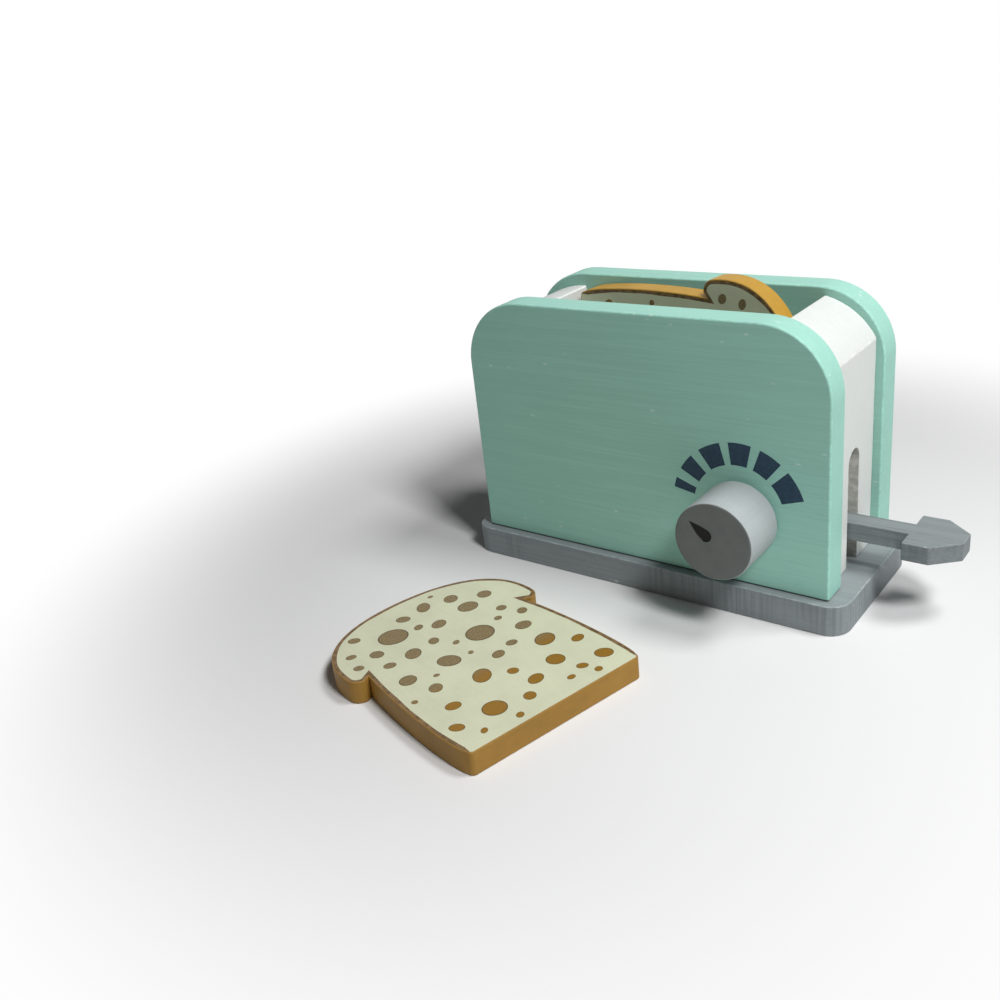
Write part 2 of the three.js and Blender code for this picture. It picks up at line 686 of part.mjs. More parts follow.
function looseToast() {
  const toast = toastSlice("toast_on_table");
  toast.rotation.z = LOOSE_TOAST_TURN;
  toast.position.set(LOOSE_TOAST_X, -BASE_WIDTH / 2 - LOOSE_TOAST_FROM_BASE, 0);
  return toast;
}

const toaster = new THREE.Group();
toaster.add(
  basePlate(),
  frontBoard(),
  rearBoard(),
  leverEndBlock(),
  farEndBlock(),
  ...restBlocks(),
  ...baseScrews(),
  ...dowels(),
  carriage(),
  knobAssembly(),
  lyingToast(),
  looseToast(),
);

export default toaster;
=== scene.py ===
"""Looks of a wooden toy toaster with two toast slices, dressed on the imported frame.

Lengths are in metres. +X points to the lever, -Y to the board that carries the knob, +Z up.
"""

import math
import random

import bmesh
import bpy
from bpy.props import FloatProperty, FloatVectorProperty, IntProperty, PointerProperty
from mathutils import Matrix, Vector


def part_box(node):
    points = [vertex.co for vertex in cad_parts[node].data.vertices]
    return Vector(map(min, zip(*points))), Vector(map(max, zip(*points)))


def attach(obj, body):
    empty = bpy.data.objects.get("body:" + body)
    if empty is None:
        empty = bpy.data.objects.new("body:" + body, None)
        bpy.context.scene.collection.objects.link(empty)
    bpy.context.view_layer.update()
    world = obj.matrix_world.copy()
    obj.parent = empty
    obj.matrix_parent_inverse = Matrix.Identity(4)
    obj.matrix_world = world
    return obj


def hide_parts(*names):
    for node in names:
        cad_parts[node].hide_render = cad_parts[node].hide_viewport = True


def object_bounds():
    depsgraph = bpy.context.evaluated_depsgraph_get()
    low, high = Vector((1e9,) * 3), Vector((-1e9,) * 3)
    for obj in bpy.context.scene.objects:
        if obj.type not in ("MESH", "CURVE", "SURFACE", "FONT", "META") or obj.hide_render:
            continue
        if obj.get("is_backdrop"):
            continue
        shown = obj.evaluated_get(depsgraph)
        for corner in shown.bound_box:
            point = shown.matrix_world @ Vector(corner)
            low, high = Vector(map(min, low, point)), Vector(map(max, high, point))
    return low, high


bl_info = {
    "name": "Wooden toy toaster",
    "version": (1, 0, 0),
    "blender": (4, 5, 0),
    "location": "3D View > Sidebar > Toaster",
    "description": "Paints, prints and rounds the pieces of a wooden toy toaster",
    "category": "Add Mesh",
}

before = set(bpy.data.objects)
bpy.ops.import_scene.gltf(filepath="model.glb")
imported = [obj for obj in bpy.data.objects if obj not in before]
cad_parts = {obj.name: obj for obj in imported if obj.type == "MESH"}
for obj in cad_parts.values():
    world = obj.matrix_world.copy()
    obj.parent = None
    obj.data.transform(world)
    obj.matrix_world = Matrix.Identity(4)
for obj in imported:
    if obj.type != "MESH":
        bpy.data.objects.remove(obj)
CAD_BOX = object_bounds()

QUARTER = math.pi / 2
SAME_POINT = 1e-6
# How far a cutter runs past the face that it cuts, and the play left round what goes into a hole
OVERRUN = 0.002
FIT_GAP = 0.0003
ARRIS_ANGLE = math.radians(28)
ARRIS_SEGMENTS = 4
ARC_STEPS = 24
SMALL_ARC_STEPS = 8
KNOB_SIDES = 120
HOLE_SIDES = 32
SCREW_SIDES = 24
PORE_SIDES = 28
SPECULAR_LEVEL = 0.2
EDGE_WEAR = 0.2

BASE_SCREW_PREFIXES = ("front_board_screw", "rear_board_screw", "lever_block_screw", "far_block_screw")
BASE_SCREWS = [f"{prefix}_{number}" for prefix in BASE_SCREW_PREFIXES for number in (1, 2)]
PLATFORM_SCREWS = ["platform_screw_1", "platform_screw_2"]
DOWELS = sorted(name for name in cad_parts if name.endswith("_dowel"))
REST_BLOCKS = ["far_rest_block", "lever_rest_block"]

# How many pores of a kind a slice has, and the least and the greatest of their radii
PORE_KINDS = (
    (2, 0.0060, 0.0066), (5, 0.0046, 0.0053), (8, 0.0036, 0.0042), (9, 0.0029, 0.0034),
    (12, 0.0022, 0.0027), (6, 0.0017, 0.0020), (4, 0.0012, 0.0014),
)


def length_of(label, default, text):
    """A length in metres."""
    return FloatProperty(name=label, description=text, default=default, unit="LENGTH", precision=5)


def colour_of(label, default, text):
    """A scene-linear colour."""
    return FloatVectorProperty(
        name=label, description=text, default=default, subtype="COLOR", size=3, min=0.0, max=1.0
    )


def angle_of(label, degrees, text):
    """An angle, its default given in degrees."""
    return FloatProperty(name=label, description=text, default=math.radians(degrees), subtype="ANGLE")


def place_of(label, default, text):
    """A place in the scene, in metres."""
    return FloatVectorProperty(
        name=label, description=text, default=default, size=3, unit="LENGTH", subtype="TRANSLATION"
    )


def number_of(label, default, text):
    """A number without a unit."""
    return FloatProperty(name=label, description=text, default=default)


class ToasterSizes(bpy.types.PropertyGroup):
    """Sizes of the toaster that its pieces' boxes don't give."""

    base_corner: length_of("Base corner", 0.009, "Radius of the base's corners seen from above")
    base_arris: length_of("Base arris", 0.0012, "Rounding along the base's edges")
    board_corner: length_of("Board corner", 0.029, "Radius of the side boards' upper corners")
    board_arris: length_of("Board arris", 0.0009, "Rounding along the side boards' edges")
    block_arris: length_of("Block arris", 0.0008, "Rounding along the end blocks' edges")
    lever_shoulder: length_of("Lever block shoulder", 0.092, "Height of the block's outer edge")
    lever_crown: length_of("Lever block crown", 0.033, "Radius of the block's falling top")
    far_shoulder: length_of("Far block shoulder", 0.096, "Height of the block's outer edge")
    far_crown: length_of("Far block crown", 0.038, "Radius of the block's falling top")
    slot_width: length_of("Slot width", 0.0118, "Width of the lever's arched slot")
    slot_height: length_of("Slot height", 0.052, "Height of the lever's arched slot")
    slot_arris: length_of("Slot arris", 0.0004, "Rounding round the mouth of the slot")
    lever_width: length_of("Lever width", 0.0092, "Width of the lever's neck")
    lever_arris: length_of("Lever arris", 0.0006, "Rounding along the lever's edges")
    tongue_thickness: length_of("Tongue thickness", 0.004, "Thickness of the lever's thinned end")
    head_shoulder: length_of("Head shoulder", 0.0268, "Width of the arrow head at its barbs")
    head_barb: length_of("Head barb", 0.0107, "Length of the arrow head's near part")
    head_taper: length_of("Head taper", 0.0104, "Length of the arrow head's tapered part")
    head_nose: length_of("Head nose", 0.0092, "Width of the arrow head's end")
    platform_corner: length_of("Platform corner", 0.003, "Radius of the platform's corners")
    platform_arris: length_of("Platform arris", 0.0006, "Rounding along the platform's edges")
    knob_front: length_of("Knob front round", 0.0009, "Rounding of the knob's front edge")
    knob_back: length_of("Knob back round", 0.0011, "Rounding of the knob's back edge")
    counterbore: length_of("Counterbore radius", 0.006, "Radius of the recess behind the knob")
    counterbore_depth: length_of("Counterbore depth", 0.005, "Depth of the recess behind the knob")
    pointer_start: length_of("Pointer start", 0.0039, "Knob's axis to the drop's round end")
    pointer_tip: length_of("Pointer tip", 0.0125, "Knob's axis to the drop's tip")
    pointer_radius: length_of("Pointer radius", 0.0028, "Radius of the drop's round end")
    pointer_depth: length_of("Pointer depth", 0.0004, "Depth to which the drop is carved")
    dial_side: length_of("Dial sideways", -0.0008, "Dial's centre beside the knob's axis")
    dial_rise: length_of("Dial rise", 0.0032, "Dial's centre above the knob's axis")
    dial_inner: length_of("Dial inner radius", 0.0196, "Radius inside the dial's marks")
    dial_outer: length_of("Dial outer radius", 0.02915, "Radius outside the dial's marks")
    film: length_of("Film", 0.00004, "Thickness of the printed ink")
    screw_hole: length_of("Screw hole", 0.0021, "Radius of the holes for the wood screws")
    screw_head: length_of("Screw head", 0.0036, "Radius of the wood screws' heads")
    screw_head_height: length_of("Screw head height", 0.0026, "Height of the wood screws' heads")
    screw_shank: length_of("Screw shank", 0.0013, "Radius of the wood screws' shanks")
    screw_point: length_of("Screw point", 0.003, "Length of the wood screws' points")
    thread_pitch: length_of("Thread pitch", 0.0014, "Rise of the thread in a turn")
    thread_depth: length_of("Thread depth", 0.0005, "How far the thread stands out")
    recess_width: length_of("Recess width", 0.0009, "Width of the cross recess's arms")
    recess_depth: length_of("Recess depth", 0.0012, "Depth of the cross recess")


class SliceSizes(bpy.types.PropertyGroup):
    """Sizes of a toast slice, measured from the middle of its flat bottom edge."""

    height: length_of("Height", 0.1086, "From the bottom edge to the top of the crown")
    bottom: length_of("Bottom width", 0.0825, "Width of the flat bottom edge")
    body: length_of("Body width", 0.086, "Width halfway up the sides")
    crown: length_of("Crown width", 0.095, "Width over the lobes")
    notch_depth: length_of("Notch depth", 0.0078, "How far the notches go in from the lobes")
    notch_height: length_of("Notch height", 0.0684, "Height of the notches")
    foot_corner: length_of("Foot corner", 0.0022, "Radius of the two corners at the bottom edge")
    lobe_radius: length_of("Lobe radius", 0.0053, "Radius under each lobe")
    lobe_drop: length_of("Lobe drop", 0.0014, "How far the lobes hang below the notches")
    arris: length_of("Arris", 0.0005, "Rounding along the slice's edges")
    crust_line: length_of("Crust line", 0.0015, "Width of the brown line along the edge")
    crust_wobble: length_of("Crust wobble", 0.00013, "How much the width of the brown line varies")
    crust_fade: length_of("Crust fade", 0.004, "Height over which the line thins out at the foot")
    pore_margin: length_of("Pore margin", 0.0021, "Least distance between a pore and the edge")
    pore_gap: length_of("Pore gap", 0.0012, "Least distance between two pores")
    pore_seed: IntProperty(name="Pore seed", description="Layout of the printed pores", default=12)


class Finish(bpy.types.PropertyGroup):
    """Colours of the paints, inks, woods and metal."""

    mint: colour_of("Mint", (0.313, 0.582, 0.491), "Paint of the side boards")
    grey: colour_of("Grey", (0.243, 0.272, 0.281), "Paint of the base")
    lever_grey: colour_of("Lever grey", (0.190, 0.213, 0.219), "Paint of the lever")
    knob_side: colour_of("Knob side", (0.380, 0.412, 0.415), "Paint round the knob")
    knob_face: colour_of("Knob face", (0.140, 0.154, 0.149), "Paint on the knob's front")
    white: colour_of("White", (0.645, 0.668, 0.650), "Paint of the end blocks")
    slot_wall: colour_of("Slot wall", (0.640, 0.640, 0.590), "Sawn wood inside the slot")
    bread: colour_of("Bread", (0.618, 0.627, 0.453), "Printed crumb")
    pore: colour_of("Pore", (0.172, 0.126, 0.061), "Printed pores")
    pore_gold: colour_of("Golden pore", (0.255, 0.125, 0.010), "Printed pores near the foot")
    crust_brown: colour_of("Crust brown", (0.155, 0.096, 0.044), "Line along the crust")
    crust_gold: colour_of("Crust gold", (0.446, 0.252, 0.032), "Edges of the slice in the well")
    # Painted shade: the loose slice's edges take a darker copy of the same gold paint
    shaded_crust_gold: colour_of("Dark crust gold", (0.322, 0.177, 0.034), "Edges of the loose slice")
    dial_ink: colour_of("Dial ink", (0.020, 0.045, 0.073), "Marks round the knob")
    pointer_ink: colour_of("Pointer ink", (0.006, 0.007, 0.006), "Drop on the knob")
    wood: colour_of("Wood", (0.640, 0.430, 0.230), "Bare pine")
    wood_ring: colour_of("Wood rings", (0.420, 0.240, 0.110), "Late wood of the bare pine")
    steel: colour_of("Steel", (0.560, 0.570, 0.580), "Screws and washer")
    mint_chip: colour_of("Mint chips", (0.60, 0.72, 0.64), "Chips in the side boards' paint")
    grey_chip: colour_of("Grey chips", (0.45, 0.45, 0.42), "Chips in the base's paint")
    lever_chip: colour_of("Lever chips", (0.40, 0.40, 0.37), "Chips in the lever's paint")
    white_chip: colour_of("White chips", (0.62, 0.55, 0.42), "Chips in the end blocks' paint")
    # Painted shade: this colour stands in for the shadow in the groove where the side boards meet the base
    joint: colour_of("Joint", (0.020, 0.022, 0.020), "Dark joint at the foot of the side boards")
    floor: colour_of("Floor", (0.780, 0.780, 0.780), "Floor as the camera sees it")
    floor_far: colour_of("Far floor", (0.150, 0.150, 0.150), "Floor far away as it lights the toy")
    floor_bounce: colour_of("Floor bounce", (0.840, 0.840, 0.840), "Floor as it lights the toy")


class Stage(bpy.types.PropertyGroup):
    """Camera and lights."""

    camera_place: place_of("Camera place", (0.22362, -0.39028, 0.23734), "Where the camera stands")
    azimuth: angle_of("Azimuth", 40.210, "Turn of the camera round the toy")
    elevation: angle_of("Elevation", 24.195, "How far the camera looks down")
    roll: angle_of("Roll", -6.953, "Tilt of the camera")
    lens: number_of("Lens", 38.37, "Focal length in millimetres")
    lamp_place: place_of("Lamp place", (0.52, -0.26, 0.70), "Where the main lamp hangs")
    lamp_level: number_of("Lamp level", 0.70, "Share of a colour that the main lamp alone shows")
    lamp_side: length_of("Lamp side", 0.18, "Side of the square main lamp")
    top_place: place_of("Top place", (0.40, 0.10, 0.82), "Where the top lamp hangs")
    top_level: number_of("Top level", 0.55, "Share of a colour that the top lamp alone shows")
    top_side: length_of("Top side", 0.24, "Side of the square top lamp")
    sky_level: number_of("Sky level", 0.06, "Share of a colour that the sky alone shows")
    floor_reach: length_of("Floor reach", 6.0, "Half the floor's side")
    bounce_start: length_of("Bounce start", 0.24, "Where the floor starts to light the toy less")
    bounce_end: length_of("Bounce end", 0.5, "Where the floor lights the toy as far floor does")
    fade_start: length_of("Fade start", 0.17, "Where the floor starts to turn into background")
    fade_end: length_of("Fade end", 0.34, "Where the floor has turned into background")


# Outlines

def arc(centre, radius, start, end, steps):
    """Points of an arc from one angle to another, both ends included."""
    turns = [start + (end - start) * i / steps for i in range(steps + 1)]
    return [(centre[0] + radius * math.cos(t), centre[1] + radius * math.sin(t)) for t in turns]


def circle(centre, radius, sides):
    """Points of a circle, as many as it has sides."""
    return arc(centre, radius, 0, 4 * QUARTER, sides)[:-1]


def bezier(start, near_start, near_end, end, steps):
    """Points of a cubic curve, both ends included."""
    points = []
    for i in range(steps + 1):
        t = i / steps
        weights = ((1 - t) ** 3, 3 * t * (1 - t) ** 2, 3 * t * t * (1 - t), t**3)
        corners = (start, near_start, near_end, end)
        points.append(tuple(sum(w * c[k] for w, c in zip(weights, corners)) for k in (0, 1)))
    return points


def without_doubles(points):
    """The outline without points that lie on the one before."""
    return [p for i, p in enumerate(points) if math.dist(p, points[i - 1]) > SAME_POINT]


def rounded_rectangle(low, high, radius):
    """Outline between two corners, with round corners, anticlockwise."""
    corners = [
        (low[0] + radius, low[1] + radius, 2),
        (high[0] - radius, low[1] + radius, 3),
        (high[0] - radius, high[1] - radius, 0),
        (low[0] + radius, high[1] - radius, 1),
    ]
    points = []
    for x, y, turn in corners:
        points += arc((x, y), radius, turn * QUARTER, (turn + 1) * QUARTER, SMALL_ARC_STEPS)
    return without_doubles(points)


def board_outline(low, high, radius):
    """Side board seen from the front: a square foot and two large round corners."""
    right = arc((high[0] - radius, high[1] - radius), radius, 0, QUARTER, ARC_STEPS)
    left = arc((low[0] + radius, high[1] - radius), radius, QUARTER, 2 * QUARTER, ARC_STEPS)
    return without_doubles([(low[0], low[1]), (high[0], low[1])] + right + left)


def block_outline(outer, inner, foot, top, shoulder, radius):
    """End block seen from the front. Its top falls in an arc to a shoulder on the outer face."""
    reach = abs(inner - outer)
    rise = top - shoulder
    chord = math.hypot(reach, rise)
    sink = math.sqrt(radius**2 - chord**2 / 4)
    centre = (reach / 2 + sink * rise / chord, (top + shoulder) / 2 - sink * reach / chord)
    start = math.atan2(shoulder - centre[1], -centre[0])
    end = math.atan2(top - centre[1], reach - centre[0])
    crown = arc(centre, radius, start, end, ARC_STEPS)
    points = [(0, foot)] + crown + [(reach, foot)]
    side = math.copysign(1, inner - outer)
    return without_doubles([(outer + side * x, z) for x, z in points])


def arch_outline(width, foot, top):
    """Slot with a round head, its foot run through the block's underside."""
    half = width / 2
    head = arc((0, top - half), half, 0, 2 * QUARTER, ARC_STEPS)
    return without_doubles([(half, foot - OVERRUN)] + head + [(-half, foot - OVERRUN)])


def slice_outline(sizes, steps=ARC_STEPS, corner=0.0):
    """Bread slice: flat bottom edge, bowed sides, a sharp notch under each lobe, a broad crown."""
    low_share, high_share, bulge_share, spring_share, shoulder_share = 0.1, 0.62, 1.035, 0.88, 0.64
    foot = sizes.bottom / 2
    lobe = sizes.crown / 2
    notch = lobe - sizes.notch_depth
    # The pull of the side's curve that gives the body's width halfway up
    bow = (4 * sizes.body - foot - notch) / 6
    low = low_share * sizes.notch_height
    high = high_share * sizes.notch_height
    lobe_foot = sizes.notch_height - sizes.lobe_drop + sizes.lobe_radius
    spring = spring_share * sizes.height
    shoulder = shoulder_share * lobe
    bulge = bulge_share * lobe
    top = sizes.height
    right = arc((foot - corner, corner), corner, -QUARTER, 0, SMALL_ARC_STEPS)
    right += bezier((foot, corner), (bow, low), (bow, high), (notch, sizes.notch_height), steps)
    right += arc((lobe - sizes.lobe_radius, lobe_foot), sizes.lobe_radius, -QUARTER, 0, SMALL_ARC_STEPS)
    right += bezier((lobe, lobe_foot), (bulge, spring), (shoulder, top), (0, top), steps)
    left = [(-x, y) for x, y in reversed(right)]
    return without_doubles(right + left)


def drop_outline(start, tip, radius):
    """Drop along +X with its round end at the start, bowed sides and its point at the tip."""
    bow_share, handle_share, tip_share = 1.1, 0.4, 0.52
    lean = bow_share * math.acos(radius / (tip - start))
    joint = (start + radius * math.cos(lean), radius * math.sin(lean))
    handle = handle_share * (tip - joint[0])
    near_joint = (joint[0] + handle * math.sin(lean), joint[1] - handle * math.cos(lean))
    near_tip = (tip - handle, tip_share * joint[1])
    side = bezier((tip, 0), near_tip, near_joint, joint, SMALL_ARC_STEPS)
    round_end = arc((start, 0), radius, lean, 4 * QUARTER - lean, ARC_STEPS)
    mirrored = [(x, -y) for x, y in reversed(side)]
    return without_doubles(side[:-1] + round_end + mirrored[1:])


def inset(points, depths):
    """The outline moved inwards at each point by that point's depth."""
    least_lean = 0.4
    moved = []
    for i, point in enumerate(points):
        before = (Vector(point) - Vector(points[i - 1])).normalized()
        after = (Vector(points[(i + 1) % len(points)]) - Vector(point)).normalized()
        inwards = Vector((-before.y - after.y, before.x + after.x)).normalized()
        lean = max(least_lean, inwards.dot(Vector((-after.y, after.x))))
        moved.append(tuple(Vector(point) + inwards * (depths[i] / lean)))
    return moved


# Meshes

def middle_of(node):
    """Middle of a CAD node's box."""
    return sum(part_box(node), Vector()) / 2


def facing_front(x, back, z):
    """Place of a turned solid whose foot is at the back and whose top faces -Y."""
    return Matrix.Translation((x, back, z)) @ Matrix.Rotation(QUARTER, 4, "X")


def add_object(name, data):
    """An object in the scene, at the origin."""
    thing = bpy.data.objects.new(name, data)
    bpy.context.scene.collection.objects.link(thing)
    return thing


def new_piece(name, bm, *materials):
    """An object from a bmesh, with its faces pointing out."""
    bmesh.ops.recalc_face_normals(bm, faces=bm.faces)
    mesh = bpy.data.meshes.new(name)
    bm.to_mesh(mesh)
    bm.free()
    for material in materials:
        mesh.materials.append(material)
    return add_object(name, mesh)


def point_piece(name, points):
    """An object of single points, for a geometry node tree."""
    mesh = bpy.data.meshes.new(name)
    mesh.from_pydata(points, [], [])
    return add_object(name, mesh)


def ring_of(bm, points):
    """Vertices at the points."""
    return [bm.verts.new(point) for point in points]


def bridge(bm, lower, upper, material=0):
    """Quads between two rings of the same count."""
    for i, vertex in enumerate(lower):
        face = bm.faces.new((lower[i - 1], vertex, upper[i], upper[i - 1]))
        face.material_index = material


def add_prism(bm, outline, low, high, axis):
    """Closed prism of an outline. Its axis says what the two outline directions are."""
    spread = {
        "X": lambda a, b, h: (h, a, b),
        "Y": lambda a, b, h: (a, h, b),
        "Z": lambda a, b, h: (a, b, h),
    }[axis]
    lower = ring_of(bm, [spread(a, b, low) for a, b in outline])
    upper = ring_of(bm, [spread(a, b, high) for a, b in outline])
    bm.faces.new(lower)
    bm.faces.new(upper)
    bridge(bm, lower, upper)


def prism(name, outline, low, high, axis, *materials):
    """One prism as an object."""
    bm = bmesh.new()
    add_prism(bm, outline, low, high, axis)
    return new_piece(name, bm, *materials)


def box(name, low, high, *materials):
    """A box between two corners, for cutting."""
    outline = [(low[0], low[1]), (high[0], low[1]), (high[0], high[1]), (low[0], high[1])]
    return prism(name, outline, low[2], high[2], "Z", *materials)


def add_turned(bm, profile, sides, place):
    """Round closed solid from a profile of (radius, height), which starts and ends on the axis."""
    rings = []
    for radius, height in profile[1:-1]:
        points = circle((0, 0), radius, sides)
        rings.append(ring_of(bm, [place @ Vector((x, y, height)) for x, y in points]))
    for lower, upper in zip(rings, rings[1:]):
        bridge(bm, lower, upper)
    for ring, height in ((rings[0], profile[0][1]), (rings[-1], profile[-1][1])):
        pole = bm.verts.new(place @ Vector((0, 0, height)))
        for i, vertex in enumerate(ring):
            bm.faces.new((ring[i - 1], vertex, pole))


def turned(name, profile, sides, place, *materials):
    """One turned solid as an object."""
    bm = bmesh.new()
    add_turned(bm, profile, sides, place)
    return new_piece(name, bm, *materials)


def quarter_round(radius, height, rounding, steps=SMALL_ARC_STEPS):
    """Profile points from the side of a turned piece to its upper end."""
    points = arc((radius - rounding, height - rounding), rounding, 0, QUARTER, steps)
    return [(max(r, 0.0), h) for r, h in points]


def bake_modifiers(piece):
    """Puts the piece's modifiers into its mesh."""
    depsgraph = bpy.context.evaluated_depsgraph_get()
    evaluated = piece.evaluated_get(depsgraph)
    mesh = bpy.data.meshes.new_from_object(evaluated, preserve_all_data_layers=True, depsgraph=depsgraph)
    old = piece.data
    piece.modifiers.clear()
    piece.data = mesh
    bpy.data.meshes.remove(old)
    mesh.name = piece.name


def cut_away(piece, cutters):
    """Cuts the cutters out of the piece. The cut faces take the cutters' material."""
    for cutter in cutters:
        modifier = piece.modifiers.new("cut", "BOOLEAN")
        modifier.operation = "DIFFERENCE"
        modifier.solver = "EXACT"
        modifier.material_mode = "TRANSFER"
        modifier.object = cutter
    bake_modifiers(piece)
    for cutter in cutters:
        mesh = cutter.data
        bpy.data.objects.remove(cutter)
        bpy.data.meshes.remove(mesh)


def round_arrises(piece, width, narrow=None):
    """Rounds the piece's sharp edges. narrow gives an edge's share of the width from its middle."""
    mesh = piece.data
    bm = bmesh.new()
    bm.from_mesh(mesh)
    weight = bm.edges.layers.float.new("bevel_weight_edge")
    for edge in bm.edges:
        if len(edge.link_faces) == 2 and edge.calc_face_angle() > ARRIS_ANGLE:
            middle = (edge.verts[0].co + edge.verts[1].co) / 2
            edge[weight] = narrow(middle) if narrow else 1.0
    bm.to_mesh(mesh)
    bm.free()
    marker = len(mesh.materials)
    mesh.materials.append(None)
    modifier = piece.modifiers.new("arris", "BEVEL")
    modifier.limit_method = "WEIGHT"
    modifier.offset_type = "OFFSET"
    modifier.width = width
    modifier.segments = ARRIS_SEGMENTS
    modifier.material = marker
    modifier.use_clamp_overlap = True
    bake_modifiers(piece)
    mark_arrises(piece, marker)
    finish_shading(piece)


def mark_arrises(piece, marker):
    """Stores where the rounded edges are, for the wear, and gives their faces the main material."""
    mesh = piece.data
    bm = bmesh.new()
    bm.from_mesh(mesh)
    arris = bm.verts.layers.float.new("arris")
    for vertex in bm.verts:
        faces = vertex.link_faces
        vertex[arris] = float(all(face.material_index == marker for face in faces))
    for face in bm.faces:
        if face.material_index == marker:
            face.material_index = 0
    bm.to_mesh(mesh)
    bm.free()
    mesh.materials.pop(index=marker)


def finish_shading(piece):
    """Smooth shading with flat faces kept flat and sharp edges kept sharp."""
    mesh = piece.data
    mesh.shade_smooth()
    mesh.set_sharp_from_angle(angle=ARRIS_ANGLE)
    modifier = piece.modifiers.new("normals", "WEIGHTED_NORMAL")
    modifier.mode = "FACE_AREA"
    modifier.keep_sharp = True
    bake_modifiers(piece)


def dress(piece, body, slot, *nodes):
    """The piece rides on a body and stands for CAD nodes, which it hides. Its slot is not used."""
    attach(piece, body)
    if nodes:
        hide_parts(*nodes)


# Shader nodes

def link_all(tree, sockets, values):
    """Links each value to the socket of its name, or sets the socket to it."""
    for key, value in values.items():
        if isinstance(value, bpy.types.NodeSocket):
            tree.links.new(value, sockets[key])
        else:
            sockets[key].default_value = value


def add_node(tree, kind, inputs=None, **settings):
    """A node with its settings made and its inputs set or linked."""
    node = tree.nodes.new(kind)
    for key, value in settings.items():
        setattr(node, key, value)
    link_all(tree, node.inputs, inputs or {})
    return node


def scaled(colour, share):
    """A colour made lighter or darker."""
    return tuple(min(1.0, c * share) for c in colour)


def mix(tree, factor, first, second):
    """Two colours mixed, each a socket or a colour of three numbers."""
    colours = [c if isinstance(c, bpy.types.NodeSocket) else (*c, 1.0) for c in (first, second)]
    inputs = {0: factor, 6: colours[0], 7: colours[1]}
    return add_node(tree, "ShaderNodeMix", inputs, data_type="RGBA").outputs[2]


def shades(tree, factor, colour, dark, light):
    """A colour that goes from one shade of itself to another as the factor grows."""
    return mix(tree, factor, scaled(colour, dark), scaled(colour, light))


def calculate(tree, operation, first, second=0.0):
    """One sum on numbers or sockets."""
    return add_node(tree, "ShaderNodeMath", {0: first, 1: second}, operation=operation).outputs[0]


def times(tree, first, second):
    """Two numbers or sockets multiplied."""
    return calculate(tree, "MULTIPLY", first, second)


def weighted(tree, *parts):
    """The sum of values, each times its weight."""
    terms = [times(tree, value, weight) for value, weight in parts]
    total = terms[0]
    for term in terms[1:]:
        total = calculate(tree, "ADD", total, term)
    return total


def remap(tree, value, low, high, to_low=0.0, to_high=1.0, smooth=True):
    """A value moved from one range to another and held inside it."""
    inputs = {"Value": value, "From Min": low, "From Max": high, "To Min": to_low, "To Max": to_high}
    kind = "SMOOTHSTEP" if smooth else "LINEAR"
    return add_node(tree, "ShaderNodeMapRange", inputs, interpolation_type=kind).outputs["Result"]


def noise(tree, place, scale=1.0, detail=4.0, roughness=0.6, stretch=(1.0, 1.0, 1.0)):
    """Noise, drawn out along an axis where its stretch is small."""
    mapping = add_node(tree, "ShaderNodeMapping", {"Vector": place, "Scale": stretch})
    drawn = mapping.outputs["Vector"]
    inputs = {"Vector": drawn, "Scale": scale, "Detail": detail, "Roughness": roughness}
    return add_node(tree, "ShaderNodeTexNoise", inputs).outputs["Fac"]


def stretched(tree, place, x, y, z):
    """The place scaled along each axis by a number or a socket."""
    scale = add_node(tree, "ShaderNodeCombineXYZ", {"X": x, "Y": y, "Z": z})
    inputs = {0: place, 1: scale.outputs[0]}
    return add_node(tree, "ShaderNodeVectorMath", inputs, operation="MULTIPLY").outputs[0]


def dust_nibs(tree, place, scale):
    """Specks of dust, one in a few of the cells of a cell pattern."""
    cells_without, core, rim = 0.86, 0.04, 0.17
    mapping = add_node(tree, "ShaderNodeMapping", {"Vector": place, "Scale": (0.4, 1.0, 1.0)})
    inputs = {"Vector": mapping.outputs["Vector"], "Scale": scale}
    cells = add_node(tree, "ShaderNodeTexVoronoi", inputs).outputs
    draw = add_node(tree, "ShaderNodeSeparateColor", {"Color": cells["Color"]}).outputs[0]
    speck = remap(tree, cells["Distance"], core, rim, 1.0, 0.0)
    return times(tree, calculate(tree, "GREATER_THAN", draw, cells_without), speck)


def new_group(name, values, outputs):
    """A shader node group with a place, named values and named results. Gives its end nodes' sockets."""
    tree = bpy.data.node_groups.new(name, "ShaderNodeTree")
    tree.interface.new_socket(name="Place", in_out="INPUT", socket_type="NodeSocketVector")
    for label, default in values.items():
        socket = tree.interface.new_socket(name=label, in_out="INPUT", socket_type="NodeSocketFloat")
        socket.default_value = default
    for label in outputs:
        tree.interface.new_socket(name=label, in_out="OUTPUT", socket_type="NodeSocketFloat")
    return tree, tree.nodes.new("NodeGroupInput").outputs, tree.nodes.new("NodeGroupOutput").inputs


def brushed_paint_group():
    """Wood grain and brush strokes that show through paint, drawn out along X, with dust nibs."""
    values = {"Along": 25.0, "Across": 1100.0, "Nibs": 240.0}
    tree, given, result = new_group("brushed paint", values, ("Height", "Tint", "Nib"))
    place = stretched(tree, given["Place"], given["Along"], given["Across"], given["Across"])
    fine = noise(tree, place, detail=3.0)
    broad = noise(tree, place, 0.22, detail=3.0, roughness=0.5, stretch=(0.4, 1.0, 1.0))
    dashes = noise(tree, place, 2.2, detail=2.0, roughness=0.5, stretch=(3.0, 1.0, 1.0))
    cloud = noise(tree, given["Place"], 14.0, detail=2.0, roughness=0.5)
    shown = times(tree, remap(tree, dashes, 0.58, 0.68), remap(tree, cloud, 0.42, 0.6))
    nib = dust_nibs(tree, given["Place"], given["Nibs"])
    height = weighted(tree, (fine, 0.8), (broad, 0.2), (shown, 0.5), (nib, 0.8))
    tint = weighted(tree, (broad, 0.25), (fine, 0.55), (cloud, 0.2), (shown, 0.4))
    link_all(tree, result, {"Height": height, "Tint": tint, "Nib": nib})
    return tree


